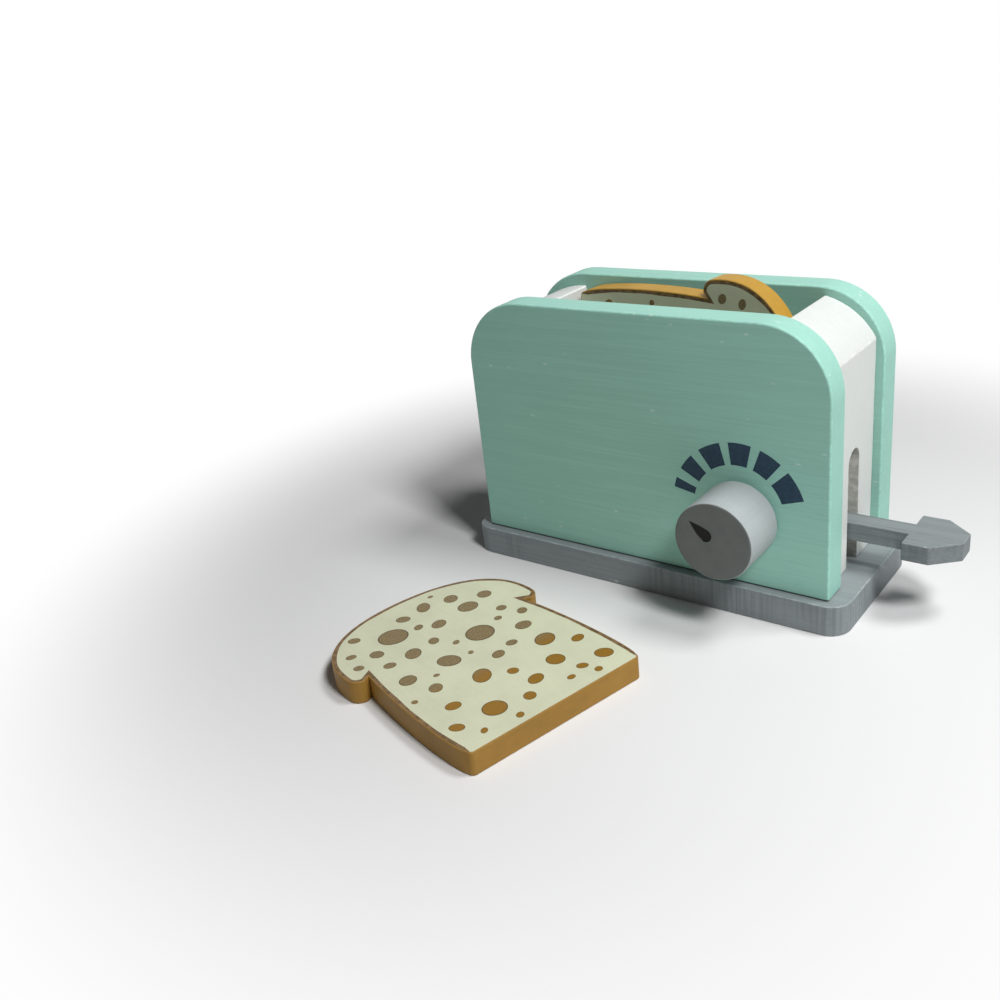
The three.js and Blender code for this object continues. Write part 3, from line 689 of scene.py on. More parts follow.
def arris_wear_group():
    """Where the paint is thin or chipped along the rounded edges."""
    tree, given, result = new_group("arris wear", {"Scale": 420.0, "Amount": 0.3}, ("Chip", "Thin"))
    arris = add_node(tree, "ShaderNodeAttribute", attribute_name="arris").outputs["Fac"]
    patches = noise(tree, given["Place"], given["Scale"])
    stretches = noise(tree, given["Place"], 55.0, detail=2.0, roughness=0.5)
    level = weighted(tree, (patches, 1.0), (stretches, 0.6))
    limit = calculate(tree, "SUBTRACT", 1.2, given["Amount"])
    chip = times(tree, remap(tree, calculate(tree, "SUBTRACT", level, limit), 0.0, 0.06), arris)
    thin_and_highlight = times(tree, remap(tree, patches, 0.3, 0.75), arris)
    link_all(tree, result, {"Chip": chip, "Thin": thin_and_highlight})
    return tree


def saw_marks_group():
    """Fine upright lines that a saw leaves on the edges of a board, on upright faces only."""
    tree, given, result = new_group("saw marks", {"Pitch": 900.0}, ("Height",))
    normal = add_node(tree, "ShaderNodeNewGeometry").outputs["Normal"]
    up = add_node(tree, "ShaderNodeSeparateXYZ", {"Vector": normal}).outputs["Z"]
    upright = remap(tree, calculate(tree, "ABSOLUTE", up), 0.7, 0.3)
    place = stretched(tree, given["Place"], given["Pitch"], given["Pitch"], 18.0)
    lines = remap(tree, noise(tree, place), 0.4, 0.62)
    patches = remap(tree, noise(tree, given["Place"], 29.0, detail=2.0, roughness=0.5), 0.44, 0.62)
    link_all(tree, result, {"Height": times(tree, lines, times(tree, patches, upright))})
    return tree


def pine_group():
    """Growth rings and fibres of pine, along X."""
    tree, given, result = new_group("pine", {"Rings": 260.0}, ("Ring", "Fibre"))
    place = stretched(tree, given["Place"], 0.06, 1.0, 1.0)
    bend = noise(tree, place, 40.0, detail=2.0, roughness=0.5)
    split = add_node(tree, "ShaderNodeSeparateXYZ", {"Vector": place}).outputs
    across = weighted(tree, (split["Y"], 1.0), (split["Z"], 0.35), (bend, 0.02))
    wave = calculate(tree, "FRACT", times(tree, across, given["Rings"]))
    fibre = noise(tree, stretched(tree, given["Place"], 30.0, 1500.0, 1500.0))
    link_all(tree, result, {"Ring": calculate(tree, "POWER", wave, 3.0), "Fibre": fibre})
    return tree


GROUP_MAKERS = {
    "brushed paint": brushed_paint_group,
    "arris wear": arris_wear_group,
    "saw marks": saw_marks_group,
    "pine": pine_group,
}


def add_group(tree, name, inputs):
    """Outputs of a shared group placed in a material. The group is built when first asked for."""
    group = bpy.data.node_groups.get(name) or GROUP_MAKERS[name]()
    return add_node(tree, "ShaderNodeGroup", inputs, node_tree=group).outputs


def object_place(tree):
    """Object coordinates."""
    return add_node(tree, "ShaderNodeTexCoord").outputs["Object"]


def slice_place(tree):
    """Coordinates in a slice's own frame, the same for both slices."""
    return add_node(tree, "ShaderNodeAttribute", attribute_name="slice_place").outputs["Vector"]


def seen_rays(tree):
    """One where the camera looks, straight or by a reflection or through glass, and nought for light."""
    rays = add_node(tree, "ShaderNodeLightPath").outputs
    seen = calculate(tree, "ADD", rays["Is Camera Ray"], rays["Is Glossy Ray"])
    return calculate(tree, "MINIMUM", calculate(tree, "ADD", seen, rays["Is Transmission Ray"]), 1.0)


# Materials

def new_material(name):
    """An empty material. Gives it with its node tree and its shader's inputs."""
    material = bpy.data.materials.new(name)
    material.use_nodes = True
    shader = material.node_tree.nodes["Principled BSDF"].inputs
    shader["Specular IOR Level"].default_value = SPECULAR_LEVEL
    return material, material.node_tree, shader


def set_surface(tree, shader, colour, roughness, height, strength, distance):
    """Gives the shader its colour, its roughness and its relief by a height."""
    inputs = {"Height": height, "Strength": strength, "Distance": distance}
    relief = add_node(tree, "ShaderNodeBump", inputs).outputs["Normal"]
    link_all(tree, shader, {"Base Color": colour, "Roughness": roughness, "Normal": relief})


def painted_joint_shade(tree, place, foot, colour, dark):
    """The colour, with painted shade darkening the joint just above the foot."""
    start, end, share = 0.0004, 0.0011, 0.92
    height = add_node(tree, "ShaderNodeSeparateXYZ", {0: place}).outputs[2]
    above = calculate(tree, "SUBTRACT", height, foot)
    return mix(tree, remap(tree, above, start, end, share, 0.0), colour, dark)


def painted_material(name, colour, bare, contrast, sawn=0.0, nibs=0.3, relief=1.0, thin_and_highlight=0.4, joint=None):
    """Paint on wood, with thin and chipped arrises, lighter along them partly as a painted highlight. A
    joint is a height and the colour of its painted shade.
    """
    known = bpy.data.materials.get(name)
    if known:
        return known
    thin_paint_highlight, chip_depth, marks_cover, marks_dark, depth = 1.6, -1.2, 0.7, 0.72, 0.00006
    material, tree, shader = new_material(name)
    place = object_place(tree)
    paint = add_group(tree, "brushed paint", {"Place": place})
    edge = add_group(tree, "arris wear", {"Place": place, "Amount": EDGE_WEAR})
    base = shades(tree, remap(tree, paint["Tint"], 0.36, 0.64), colour, 1 - contrast, 1 + contrast)
    base = mix(tree, times(tree, paint["Nib"], nibs), base, (1.0, 1.0, 1.0))
    # Lighter arrises: thin paint wear together with a painted highlight along the rounded edges
    base = mix(tree, times(tree, edge["Thin"], thin_and_highlight), base, scaled(colour, thin_paint_highlight))
    base = mix(tree, edge["Chip"], base, bare)
    # Painted shade in the groove at the boards' foot
    if joint:
        base = painted_joint_shade(tree, place, joint[0], base, joint[1])
    height = weighted(tree, (paint["Height"], 1.0), (edge["Chip"], chip_depth))
    if sawn:
        marks = add_group(tree, "saw marks", {"Place": place})["Height"]
        height = weighted(tree, (height, 1.0), (marks, sawn))
        base = mix(tree, times(tree, marks, marks_cover), base, scaled(colour, marks_dark))
    roughness = remap(tree, paint["Height"], 0.4, 1.2, 0.56, 0.68)
    set_surface(tree, shader, base, roughness, height, strength=0.5, distance=depth * relief)
    return material


def mint_paint(finish):
    """Mint paint of the side boards."""
    # The joint colour is painted shade for the groove at the boards' foot
    joint = (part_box("front_board")[0].z, finish.joint)
    return painted_material(
        "painted_mint", finish.mint, finish.mint_chip, contrast=0.048, relief=0.5, joint=joint
    )


def base_paint(finish):
    """Grey paint of the base."""
    # The full thin share makes the painted highlight along the base's lip strong
    return painted_material(
        "painted_grey", finish.grey, finish.grey_chip, contrast=0.09, sawn=1.6, thin_and_highlight=1.0
    )


def lever_paint(finish):
    """Grey paint of the lever, thin enough to show the saw's marks."""
    return painted_material(
        "painted_lever", finish.lever_grey, finish.lever_chip, contrast=0.19, sawn=2.2, relief=1.3
    )


def white_paint(finish):
    """White paint of the end blocks."""
    return painted_material("painted_white", finish.white, finish.white_chip, contrast=0.03, nibs=0.0)


def slot_wall(finish):
    """Sawn wood inside the slot, with a thin wash of paint."""
    material, tree, shader = new_material("slot_wall")
    place = object_place(tree)
    marks = noise(tree, place, detail=3.0, roughness=0.5, stretch=(300.0, 60.0, 900.0))
    tone = weighted(tree, (marks, 0.35), (noise(tree, place, 420.0), 0.65))
    base = shades(tree, remap(tree, tone, 0.35, 0.65), finish.slot_wall, 0.78, 1.1)
    set_surface(tree, shader, base, 0.8, tone, strength=0.8, distance=0.0003)
    return material


def knob_side_paint(finish):
    """Light grey paint round the knob, with the faint rings of the lathe."""
    material, tree, shader = new_material("knob_side")
    place = object_place(tree)
    rings = noise(tree, place, stretch=(40.0, 900.0, 40.0))
    streaks = noise(tree, place, stretch=(700.0, 20.0, 700.0))
    tone = weighted(tree, (rings, 0.4), (streaks, 0.6))
    base = shades(tree, remap(tree, tone, 0.35, 0.65), finish.knob_side, 0.97, 1.03)
    roughness = remap(tree, tone, 0.3, 0.7, 0.4, 0.55)
    set_surface(tree, shader, base, roughness, tone, strength=0.2, distance=0.00005)
    return material


def knob_face_paint(finish):
    """Dark grey paint on the knob's end grain."""
    material, tree, shader = new_material("knob_face")
    place = object_place(tree)
    pits = noise(tree, place, 1600.0, detail=3.0)
    cloud = noise(tree, place, 180.0, detail=3.0, roughness=0.5)
    base = shades(tree, remap(tree, cloud, 0.3, 0.7), finish.knob_face, 0.95, 1.06)
    roughness = remap(tree, pits, 0.3, 0.7, 0.5, 0.62)
    set_surface(tree, shader, base, roughness, pits, strength=0.35, distance=0.00004)
    return material


def ink_material(name, colour, least_roughness):
    """Printed ink, slightly uneven."""
    material, tree, shader = new_material(name)
    cover = noise(tree, object_place(tree), 900.0)
    base = shades(tree, remap(tree, cover, 0.35, 0.7), colour, 1.0, 1.35)
    roughness = remap(tree, cover, 0.3, 0.7, least_roughness, least_roughness + 0.12)
    set_surface(tree, shader, base, roughness, cover, strength=0.3, distance=0.00003)
    return material


def pine(finish):
    """Bare planed pine."""
    known = bpy.data.materials.get("bare_pine")
    if known:
        return known
    material, tree, shader = new_material("bare_pine")
    wood = add_group(tree, "pine", {"Place": object_place(tree)})
    base = mix(tree, wood["Ring"], finish.wood, finish.wood_ring)
    base = mix(tree, times(tree, wood["Fibre"], 0.3), base, scaled(finish.wood, 0.75))
    height = weighted(tree, (wood["Ring"], 0.4), (wood["Fibre"], 1.0))
    roughness = remap(tree, wood["Fibre"], 0.3, 0.7, 0.6, 0.75)
    set_surface(tree, shader, base, roughness, height, strength=0.5, distance=0.0001)
    return material


def steel(finish):
    """Zinc-plated steel with fine scratches."""
    known = bpy.data.materials.get("steel")
    if known:
        return known
    material, tree, shader = new_material("steel")
    scratches = noise(tree, object_place(tree), detail=3.0, stretch=(1800.0, 300.0, 1800.0))
    base = shades(tree, remap(tree, scratches, 0.4, 0.65), finish.steel, 0.85, 1.0)
    roughness = remap(tree, scratches, 0.3, 0.7, 0.26, 0.42)
    set_surface(tree, shader, base, roughness, scratches, strength=0.2, distance=0.00003)
    shader["Metallic"].default_value = 1.0
    return material


def crumb(finish):
    """Printed cream face of a slice, with the wood's grain showing faintly."""
    material, tree, shader = new_material("crumb")
    place = slice_place(tree)
    grain = noise(tree, place, detail=5.0, roughness=0.65, stretch=(900.0, 40.0, 40.0))
    speckle = noise(tree, place, 1500.0, detail=2.0, roughness=0.5)
    base = shades(tree, remap(tree, noise(tree, place, 60.0), 0.3, 0.7), finish.bread, 0.95, 1.04)
    base = mix(tree, remap(tree, grain, 0.5, 0.75, 0.0, 0.2), base, scaled(finish.bread, 0.82))
    base = mix(tree, remap(tree, speckle, 0.6, 0.72, 0.0, 0.25), base, scaled(finish.bread, 0.8))
    roughness = remap(tree, grain, 0.3, 0.7, 0.46, 0.6)
    set_surface(tree, shader, base, roughness, grain, strength=0.4, distance=0.00006)
    return material


def pore_ink(finish):
    """Speckled brown ink of the pores, darker at the rim and more golden near the foot."""
    golden_above, golden_below, speckle_light, rim_cover, rim_dark = 0.045, 0.032, 1.9, 0.85, 0.45
    material, tree, shader = new_material("pore_ink")
    place = slice_place(tree)
    height = add_node(tree, "ShaderNodeSeparateXYZ", {"Vector": place}).outputs["Y"]
    golden = remap(tree, height, golden_above, golden_below)
    speckle = remap(tree, noise(tree, place, 1300.0, detail=3.0), 0.4, 0.62)
    amount = times(tree, speckle, remap(tree, golden, 0.0, 1.0, 0.55, 0.15))
    base = mix(tree, golden, finish.pore, finish.pore_gold)
    base = mix(tree, amount, base, scaled(finish.pore, speckle_light))
    radius = add_node(tree, "ShaderNodeAttribute", attribute_name="rim").outputs["Fac"]
    rim = times(tree, remap(tree, radius, 0.86, 0.97), rim_cover)
    base = mix(tree, rim, base, scaled(finish.pore, rim_dark))
    set_surface(tree, shader, base, 0.5, speckle, strength=0.3, distance=0.00003)
    return material


def crust_line_ink(finish):
    """Brown line printed along the edge of a slice."""
    material, tree, shader = new_material("crust_line")
    cloud = noise(tree, slice_place(tree), 420.0)
    base = shades(tree, remap(tree, cloud, 0.35, 0.65), finish.crust_brown, 0.75, 1.5)
    set_surface(tree, shader, base, 0.5, cloud, strength=0.3, distance=0.00004)
    return material


def crust_paint(name, finish, gold):
    """Golden paint on the edges of a slice, brushed along the edge, browned in patches."""
    material, tree, shader = new_material(name)
    place = slice_place(tree)
    strokes = noise(tree, place, stretch=(120.0, 120.0, 1500.0))
    saw = noise(tree, place, detail=3.0, roughness=0.5, stretch=(1100.0, 1100.0, 40.0))
    edge = add_group(tree, "arris wear", {"Place": place, "Amount": EDGE_WEAR})
    tone = weighted(tree, (noise(tree, place, 55.0), 0.6), (strokes, 0.4))
    base = shades(tree, remap(tree, tone, 0.3, 0.7), gold, 0.84, 1.1)
    base = mix(tree, times(tree, edge["Thin"], 0.5), base, scaled(finish.crust_brown, 1.3))
    height = weighted(tree, (saw, 0.5), (strokes, 0.5))
    roughness = remap(tree, strokes, 0.3, 0.7, 0.42, 0.56)
    set_surface(tree, shader, base, roughness, height, strength=0.5, distance=0.00007)
    return material


# Geometry nodes

def new_geometry_tree(name, lengths):
    """A geometry node tree with an input for each length, the sides and the material."""
    tree = bpy.data.node_groups.new(name, "GeometryNodeTree")
    kinds = {"Geometry": "Geometry", **dict.fromkeys(lengths, "Float")}
    kinds.update({"Sides": "Int", "Material": "Material"})
    for label, kind in kinds.items():
        tree.interface.new_socket(name=label, in_out="INPUT", socket_type=f"NodeSocket{kind}")
    tree.interface.new_socket(name="Geometry", in_out="OUTPUT", socket_type="NodeSocketGeometry")
    return tree, tree.nodes.new("NodeGroupInput").outputs, tree.nodes.new("NodeGroupOutput").inputs


def finish_instances(tree, given, result, instance, **placing):
    """Puts the instance on the given points, makes it real and gives it its material."""
    inputs = {"Points": given["Geometry"], "Instance": instance, **placing}
    placed = add_node(tree, "GeometryNodeInstanceOnPoints", inputs).outputs["Instances"]
    real = add_node(tree, "GeometryNodeRealizeInstances", {"Geometry": placed}).outputs["Geometry"]
    final = add_node(tree, "GeometryNodeSetMaterial", {"Geometry": real, "Material": given["Material"]})
    tree.links.new(final.outputs["Geometry"], result["Geometry"])


def run_tree(piece, tree, values):
    """Runs a geometry node tree on the piece with its named inputs and keeps the result."""
    modifier = piece.modifiers.new("nodes", "NODES")
    modifier.node_group = tree
    for item in tree.interface.items_tree:
        if item.item_type == "SOCKET" and item.in_out == "INPUT" and item.name in values:
            modifier[item.identifier] = values[item.name]
    bake_modifiers(piece)


def named_vector(tree, name):
    """A named vector of the points."""
    node = add_node(tree, "GeometryNodeInputNamedAttribute", {"Name": name}, data_type="FLOAT_VECTOR")
    return node.outputs["Attribute"]


def pore_tree():
    """A thin round patch of ink at each point, stretched and turned by the point's attributes."""
    tree, given, result = new_geometry_tree("printed pores", ["Film"])
    shape = {
        "Vertices": given["Sides"], "Side Segments": 1, "Fill Segments": 3,
        "Radius": 1.0, "Depth": times(tree, given["Film"], 2.0),
    }
    disc = add_node(tree, "GeometryNodeMeshCylinder", shape).outputs["Mesh"]
    here = add_node(tree, "GeometryNodeInputPosition").outputs[0]
    flat = add_node(tree, "ShaderNodeVectorMath", {0: here, 1: (1.0, 1.0, 0.0)}, operation="MULTIPLY")
    radius = add_node(tree, "ShaderNodeVectorMath", {0: flat.outputs[0]}, operation="LENGTH")
    rim = {"Geometry": disc, "Name": "rim", "Value": radius.outputs["Value"]}
    stored = add_node(tree, "GeometryNodeStoreNamedAttribute", rim, data_type="FLOAT", domain="POINT")
    turn = add_node(tree, "FunctionNodeEulerToRotation", {0: named_vector(tree, "pore_turn")}).outputs[0]
    size = named_vector(tree, "pore_size")
    finish_instances(tree, given, result, stored.outputs["Geometry"], Rotation=turn, Scale=size)
    return tree


def screw_tree():
    """A countersunk screw with a thread and a cross recess at each point, pointing up."""
    recess_share, tip_share = 1.15, 0.06
    lengths = [
        "Head Radius", "Head Height", "Shank Radius", "Length", "Point",
        "Thread Pitch", "Thread Depth", "Recess Width", "Recess Depth",
    ]
    tree, given, result = new_geometry_tree("countersunk screws", lengths)
    head_height, shank, width = given["Head Height"], given["Shank Radius"], given["Recess Width"]

    def raised(geometry, height):
        offset = add_node(tree, "ShaderNodeCombineXYZ", {"Z": height}).outputs[0]
        inputs = {"Geometry": geometry, "Translation": offset}
        return add_node(tree, "GeometryNodeTransform", inputs).outputs["Geometry"]

    def cone(low_radius, high_radius, depth):
        inputs = {
            "Vertices": given["Sides"], "Side Segments": 1, "Fill Segments": 1,
            "Radius Top": high_radius, "Radius Bottom": low_radius, "Depth": depth,
        }
        return add_node(tree, "GeometryNodeMeshCone", inputs).outputs["Mesh"]

    head = cone(given["Head Radius"], shank, head_height)
    cut = add_node(tree, "GeometryNodeMeshBoolean", {"Mesh 1": head}, operation="DIFFERENCE")
    reach = times(tree, given["Head Radius"], recess_share)
    depth = times(tree, given["Recess Depth"], 2.0)
    for x, y in ((reach, width), (width, reach)):
        size = add_node(tree, "ShaderNodeCombineXYZ", {"X": x, "Y": y, "Z": depth}).outputs[0]
        bar = add_node(tree, "GeometryNodeMeshCube", {"Size": size}).outputs["Mesh"]
        tree.links.new(bar, cut.inputs["Mesh 2"])
    point_foot = calculate(tree, "SUBTRACT", given["Length"], given["Point"])
    straight = calculate(tree, "SUBTRACT", point_foot, head_height)
    body = raised(cone(shank, shank, straight), head_height)
    point = raised(cone(shank, times(tree, shank, tip_share), given["Point"]), point_foot)
    turns = calculate(tree, "DIVIDE", straight, given["Thread Pitch"])
    coil = {
        "Resolution": given["Sides"], "Rotations": turns,
        "Start Radius": shank, "End Radius": shank, "Height": straight,
    }
    path = add_node(tree, "GeometryNodeCurveSpiral", coil).outputs["Curve"]
    ridge = {"Resolution": 3, "Radius": given["Thread Depth"]}
    ridge = add_node(tree, "GeometryNodeCurvePrimitiveCircle", ridge, mode="RADIUS").outputs["Curve"]
    sweep = {"Curve": path, "Profile Curve": ridge, "Fill Caps": True}
    thread = raised(add_node(tree, "GeometryNodeCurveToMesh", sweep).outputs["Mesh"], head_height)
    joined = tree.nodes.new("GeometryNodeJoinGeometry")
    for part in (cut.outputs["Mesh"], body, point, thread):
        tree.links.new(part, joined.inputs["Geometry"])
    finish_instances(tree, given, result, joined.outputs["Geometry"])
    return tree


# Pieces

def screw_recesses(name, screws, depth, sizes, material):
    """One cutter for the countersunk holes of the named screws, open below their heads."""
    hole = sizes.screw_hole
    head = sizes.screw_head + FIT_GAP
    bm = bmesh.new()
    for screw in screws:
        middle = middle_of(screw)
        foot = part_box(screw)[0].z
        profile = [
            (0, foot - OVERRUN),
            (head, foot - OVERRUN),
            (head, foot + sizes.screw_head_height / 4),
            (hole, foot + sizes.screw_head_height),
            (hole, depth),
            (0, depth),
        ]
        add_turned(bm, profile, HOLE_SIDES, Matrix.Translation((middle.x, middle.y, 0)))
    return new_piece(name, bm, material)


class TOASTER_OT_base(bpy.types.Operator):
    """Makes the grey base plate with its countersunk screw holes"""

    bl_idname = "toaster.base"
    bl_label = "Base plate"
    bl_options = {"REGISTER", "UNDO"}

    def execute(self, context):
        sizes, finish = context.scene.toaster_sizes, context.scene.toaster_finish
        low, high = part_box("base_plate")
        outline = rounded_rectangle(low, high, sizes.base_corner)
        base = prism("painted_base", outline, low.z, high.z, "Z", base_paint(finish))
        cut_away(base, [screw_recesses("holes", BASE_SCREWS, high.z + OVERRUN, sizes, pine(finish))])
        centres = [middle_of(screw) for screw in BASE_SCREWS]
        hole = sizes.screw_head + 2 * FIT_GAP

        def narrow(middle):
            return 0.0 if any((middle - c).xy.length < hole for c in centres) else 1.0

        round_arrises(base, sizes.base_arris, narrow)
        dress(base, "housing", "grey_paint", "base_plate")
        return {"FINISHED"}


class TOASTER_OT_side_boards(bpy.types.Operator):
    """Makes the two mint side boards and the recess behind the knob"""

    bl_idname = "toaster.side_boards"
    bl_label = "Side boards"
    bl_options = {"REGISTER", "UNDO"}

    def execute(self, context):
        sizes, finish = context.scene.toaster_sizes, context.scene.toaster_finish
        recess = sizes.counterbore + FIT_GAP
        for node in ("front_board", "rear_board"):
            low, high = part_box(node)
            outline = board_outline(low.xz, high.xz, sizes.board_corner)
            board = prism(f"painted_{node}", outline, low.y, high.y, "Y", mint_paint(finish))
            axis = self.drill(board, sizes, finish) if node == "front_board" else None

            def narrow(edge, axis=axis):
                return 0.0 if axis is not None and (edge - axis).xz.length < recess else 1.0

            round_arrises(board, sizes.board_arris, narrow)
            dress(board, "housing", "mint_paint", node)
        return {"FINISHED"}

    def drill(self, board, sizes, finish):
        """Drills the knob's hole and recess. Returns a point on their axis."""
        axis = middle_of("knob_washer")
        low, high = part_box("front_board")
        depth = sizes.counterbore_depth + OVERRUN
        reach = depth + abs(low.y)
        bore = sizes.screw_hole + FIT_GAP
        counterbore = sizes.counterbore
        profile = [(0, 0), (counterbore, 0), (counterbore, depth), (bore, depth), (bore, reach), (0, reach)]
        place = facing_front(axis.x, high.y + OVERRUN, axis.z)
        cut_away(board, [turned("hole", profile, HOLE_SIDES, place, pine(finish))])
        return axis


class TOASTER_OT_end_blocks(bpy.types.Operator):
    """Makes the two white end blocks and the arched slot for the lever"""

    bl_idname = "toaster.end_blocks"
    bl_label = "End blocks"
    bl_options = {"REGISTER", "UNDO"}

    def execute(self, context):
        sizes, finish = context.scene.toaster_sizes, context.scene.toaster_finish
        self.block("far_end_block", -1, sizes.far_shoulder, sizes.far_crown, [], sizes, finish)
        low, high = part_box("lever_end_block")
        arch = arch_outline(sizes.slot_width, low.z, low.z + sizes.slot_height)
        cutter = prism("arch", arch, low.x - OVERRUN, high.x + OVERRUN, "X", slot_wall(finish))
        self.block("lever_end_block", 1, sizes.lever_shoulder, sizes.lever_crown, [cutter], sizes, finish)
        return {"FINISHED"}

    def block(self, node, side, shoulder, crown, cutters, sizes, finish):
        """One block, its falling top towards the given end of the toy."""
        low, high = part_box(node)
        outer, inner = (high.x, low.x) if side > 0 else (low.x, high.x)
        outline = block_outline(outer, inner, low.z, high.z, low.z + shoulder, crown)
        block = prism(f"painted_{node}", outline, low.y, high.y, "Y", white_paint(finish))
        if cutters:
            cut_away(block, cutters)
        mouth = sizes.slot_width / 2 + FIT_GAP
        roof = low.z + sizes.slot_height + FIT_GAP

        def narrow(middle):
            in_slot = cutters and abs(middle.y) < mouth and middle.z < roof
            return sizes.slot_arris / sizes.block_arris if in_slot else 1.0

        round_arrises(block, sizes.block_arris, narrow)
        dress(block, "housing", "white_paint", node)


class TOASTER_OT_lever(bpy.types.Operator):
    """Makes the grey lever with its arrow head and its tongue under the platform"""

    bl_idname = "toaster.lever"
    bl_label = "Lever"
    bl_options = {"REGISTER", "UNDO"}

    def execute(self, context):
        sizes, finish = context.scene.toaster_sizes, context.scene.toaster_finish
        low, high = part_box("lever")
        neck = sizes.lever_width / 2
        barb = high.x - sizes.head_taper
        shoulder = barb - sizes.head_barb
        half = [
            (low.x, neck),
            (shoulder, neck),
            (shoulder, sizes.head_shoulder / 2),
            (barb, high.y),
            (high.x, sizes.head_nose / 2),
        ]
        outline = [(x, -y) for x, y in half] + half[::-1]
        lever = prism("painted_lever", outline, low.z, high.z, "Z", lever_paint(finish))
        lap_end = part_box("bread_platform")[1].x + FIT_GAP
        lap = box(
            "lap",
            (low.x - OVERRUN, -neck - OVERRUN, low.z + sizes.tongue_thickness),
            (lap_end, neck + OVERRUN, high.z + OVERRUN),
            pine(finish),
        )
        holes = screw_recesses("holes", PLATFORM_SCREWS, high.z, sizes, pine(finish))
        cut_away(lever, [lap, holes])

        def narrow(middle):
            return 0.0 if low.x + FIT_GAP < middle.x < lap_end + FIT_GAP else 1.0

        round_arrises(lever, sizes.lever_arris, narrow)
        dress(lever, "lever_carriage", "grey_paint", "lever")
        return {"FINISHED"}


class TOASTER_OT_platform(bpy.types.Operator):
    """Makes the bare wooden platform that lifts the bread, and gives the rest blocks their wood"""

    bl_idname = "toaster.platform"
    bl_label = "Bread platform"
    bl_options = {"REGISTER", "UNDO"}

    def execute(self, context):
        sizes, finish = context.scene.toaster_sizes, context.scene.toaster_finish
        low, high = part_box("bread_platform")
        outline = rounded_rectangle(low, high, sizes.platform_corner)
        platform = prism("pine_platform", outline, low.z, high.z, "Z", pine(finish))
        half = sizes.lever_width / 2 + FIT_GAP
        tongue_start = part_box("lever")[0].x - FIT_GAP
        roof = low.z + sizes.tongue_thickness + FIT_GAP
        groove = box(
            "groove",
            (tongue_start, -half, low.z - OVERRUN),
            (high.x + OVERRUN, half, roof),
            pine(finish),
        )
        cut_away(platform, [groove])

        def narrow(middle):
            return 0.0 if abs(middle.y) <= half + SAME_POINT and middle.z < high.z - SAME_POINT else 1.0

        round_arrises(platform, sizes.platform_arris, narrow)
        dress(platform, "lever_carriage", "bare_wood", "bread_platform")
        for name in REST_BLOCKS:
            paint_node(name, pine(finish))
        return {"FINISHED"}


class TOASTER_OT_knob(bpy.types.Operator):
    """Makes the turned knob with its dark face and carved drop"""

    bl_idname = "toaster.knob"
    bl_label = "Knob"
    bl_options = {"REGISTER", "UNDO"}
    drop_turn = math.radians(143)
    side_paint, face_paint, drop_ink = 0, 1, 2

    def execute(self, context):
        sizes, finish = context.scene.toaster_sizes, context.scene.toaster_finish
        low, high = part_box("knob")
        radius = (high.x - low.x) / 2
        length = high.y - low.y
        bore = sizes.screw_hole + FIT_GAP
        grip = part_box("knob_screw")[0].y
        profile = [
            (bore, high.y - grip + FIT_GAP),
            (bore, 0),
            (radius - sizes.knob_back, 0),
            (radius, sizes.knob_back),
            *quarter_round(radius, length, sizes.knob_front),
        ]
        bm = bmesh.new()
        rings = []
        for ring_radius, height in profile:
            points = circle((0, 0), ring_radius, KNOB_SIDES)
            rings.append(ring_of(bm, [(x, y, height) for x, y in points]))
        bm.faces.new(rings[0])
        painted_dark = len(rings) - 1 - SMALL_ARC_STEPS // 2
        for i, (lower, upper) in enumerate(zip(rings, rings[1:])):
            bridge(bm, lower, upper, self.face_paint if i >= painted_dark else self.side_paint)
        self.face_with_drop(bm, rings[-1], length, sizes)
        middle = middle_of("knob")
        place = facing_front(middle.x, high.y, middle.z)
        bmesh.ops.transform(bm, matrix=place, verts=bm.verts)
        materials = [knob_side_paint(finish), knob_face_paint(finish)]
        materials.append(ink_material("pointer_ink", finish.pointer_ink, least_roughness=0.32))
        knob = new_piece("turned_knob", bm, *materials)
        finish_shading(knob)
        dress(knob, "knob_assembly", "grey_paint", "knob")
        return {"FINISHED"}

    def face_with_drop(self, bm, rim, length, sizes):
        """Fills the knob's end round the drop, and carves the drop."""
        cosine, sine = math.cos(self.drop_turn), math.sin(self.drop_turn)
        outline = drop_outline(sizes.pointer_start, sizes.pointer_tip, sizes.pointer_radius)
        floor = inset(outline, [sizes.pointer_depth / 2] * len(outline))
        floor[0] = ((outline[0][0] + floor[0][0]) / 2, 0)
        rings = []
        for points, height in ((outline, length), (floor, length - sizes.pointer_depth)):
            turned_points = [(x * cosine - y * sine, x * sine + y * cosine, height) for x, y in points]
            rings.append(ring_of(bm, turned_points))
        bridge(bm, rings[0], rings[1], self.drop_ink)
        bm.faces.new(rings[1]).material_index = self.drop_ink
        loops = [(ring[i - 1], ring[i]) for ring in (rim, rings[0]) for i in range(len(ring))]
        edges = [bm.edges.get(pair) for pair in loops]
        filled = bmesh.ops.triangle_fill(bm, edges=edges, use_beauty=True)
        for face in filled["geom"]:
            if isinstance(face, bmesh.types.BMFace):
                face.material_index = self.face_paint


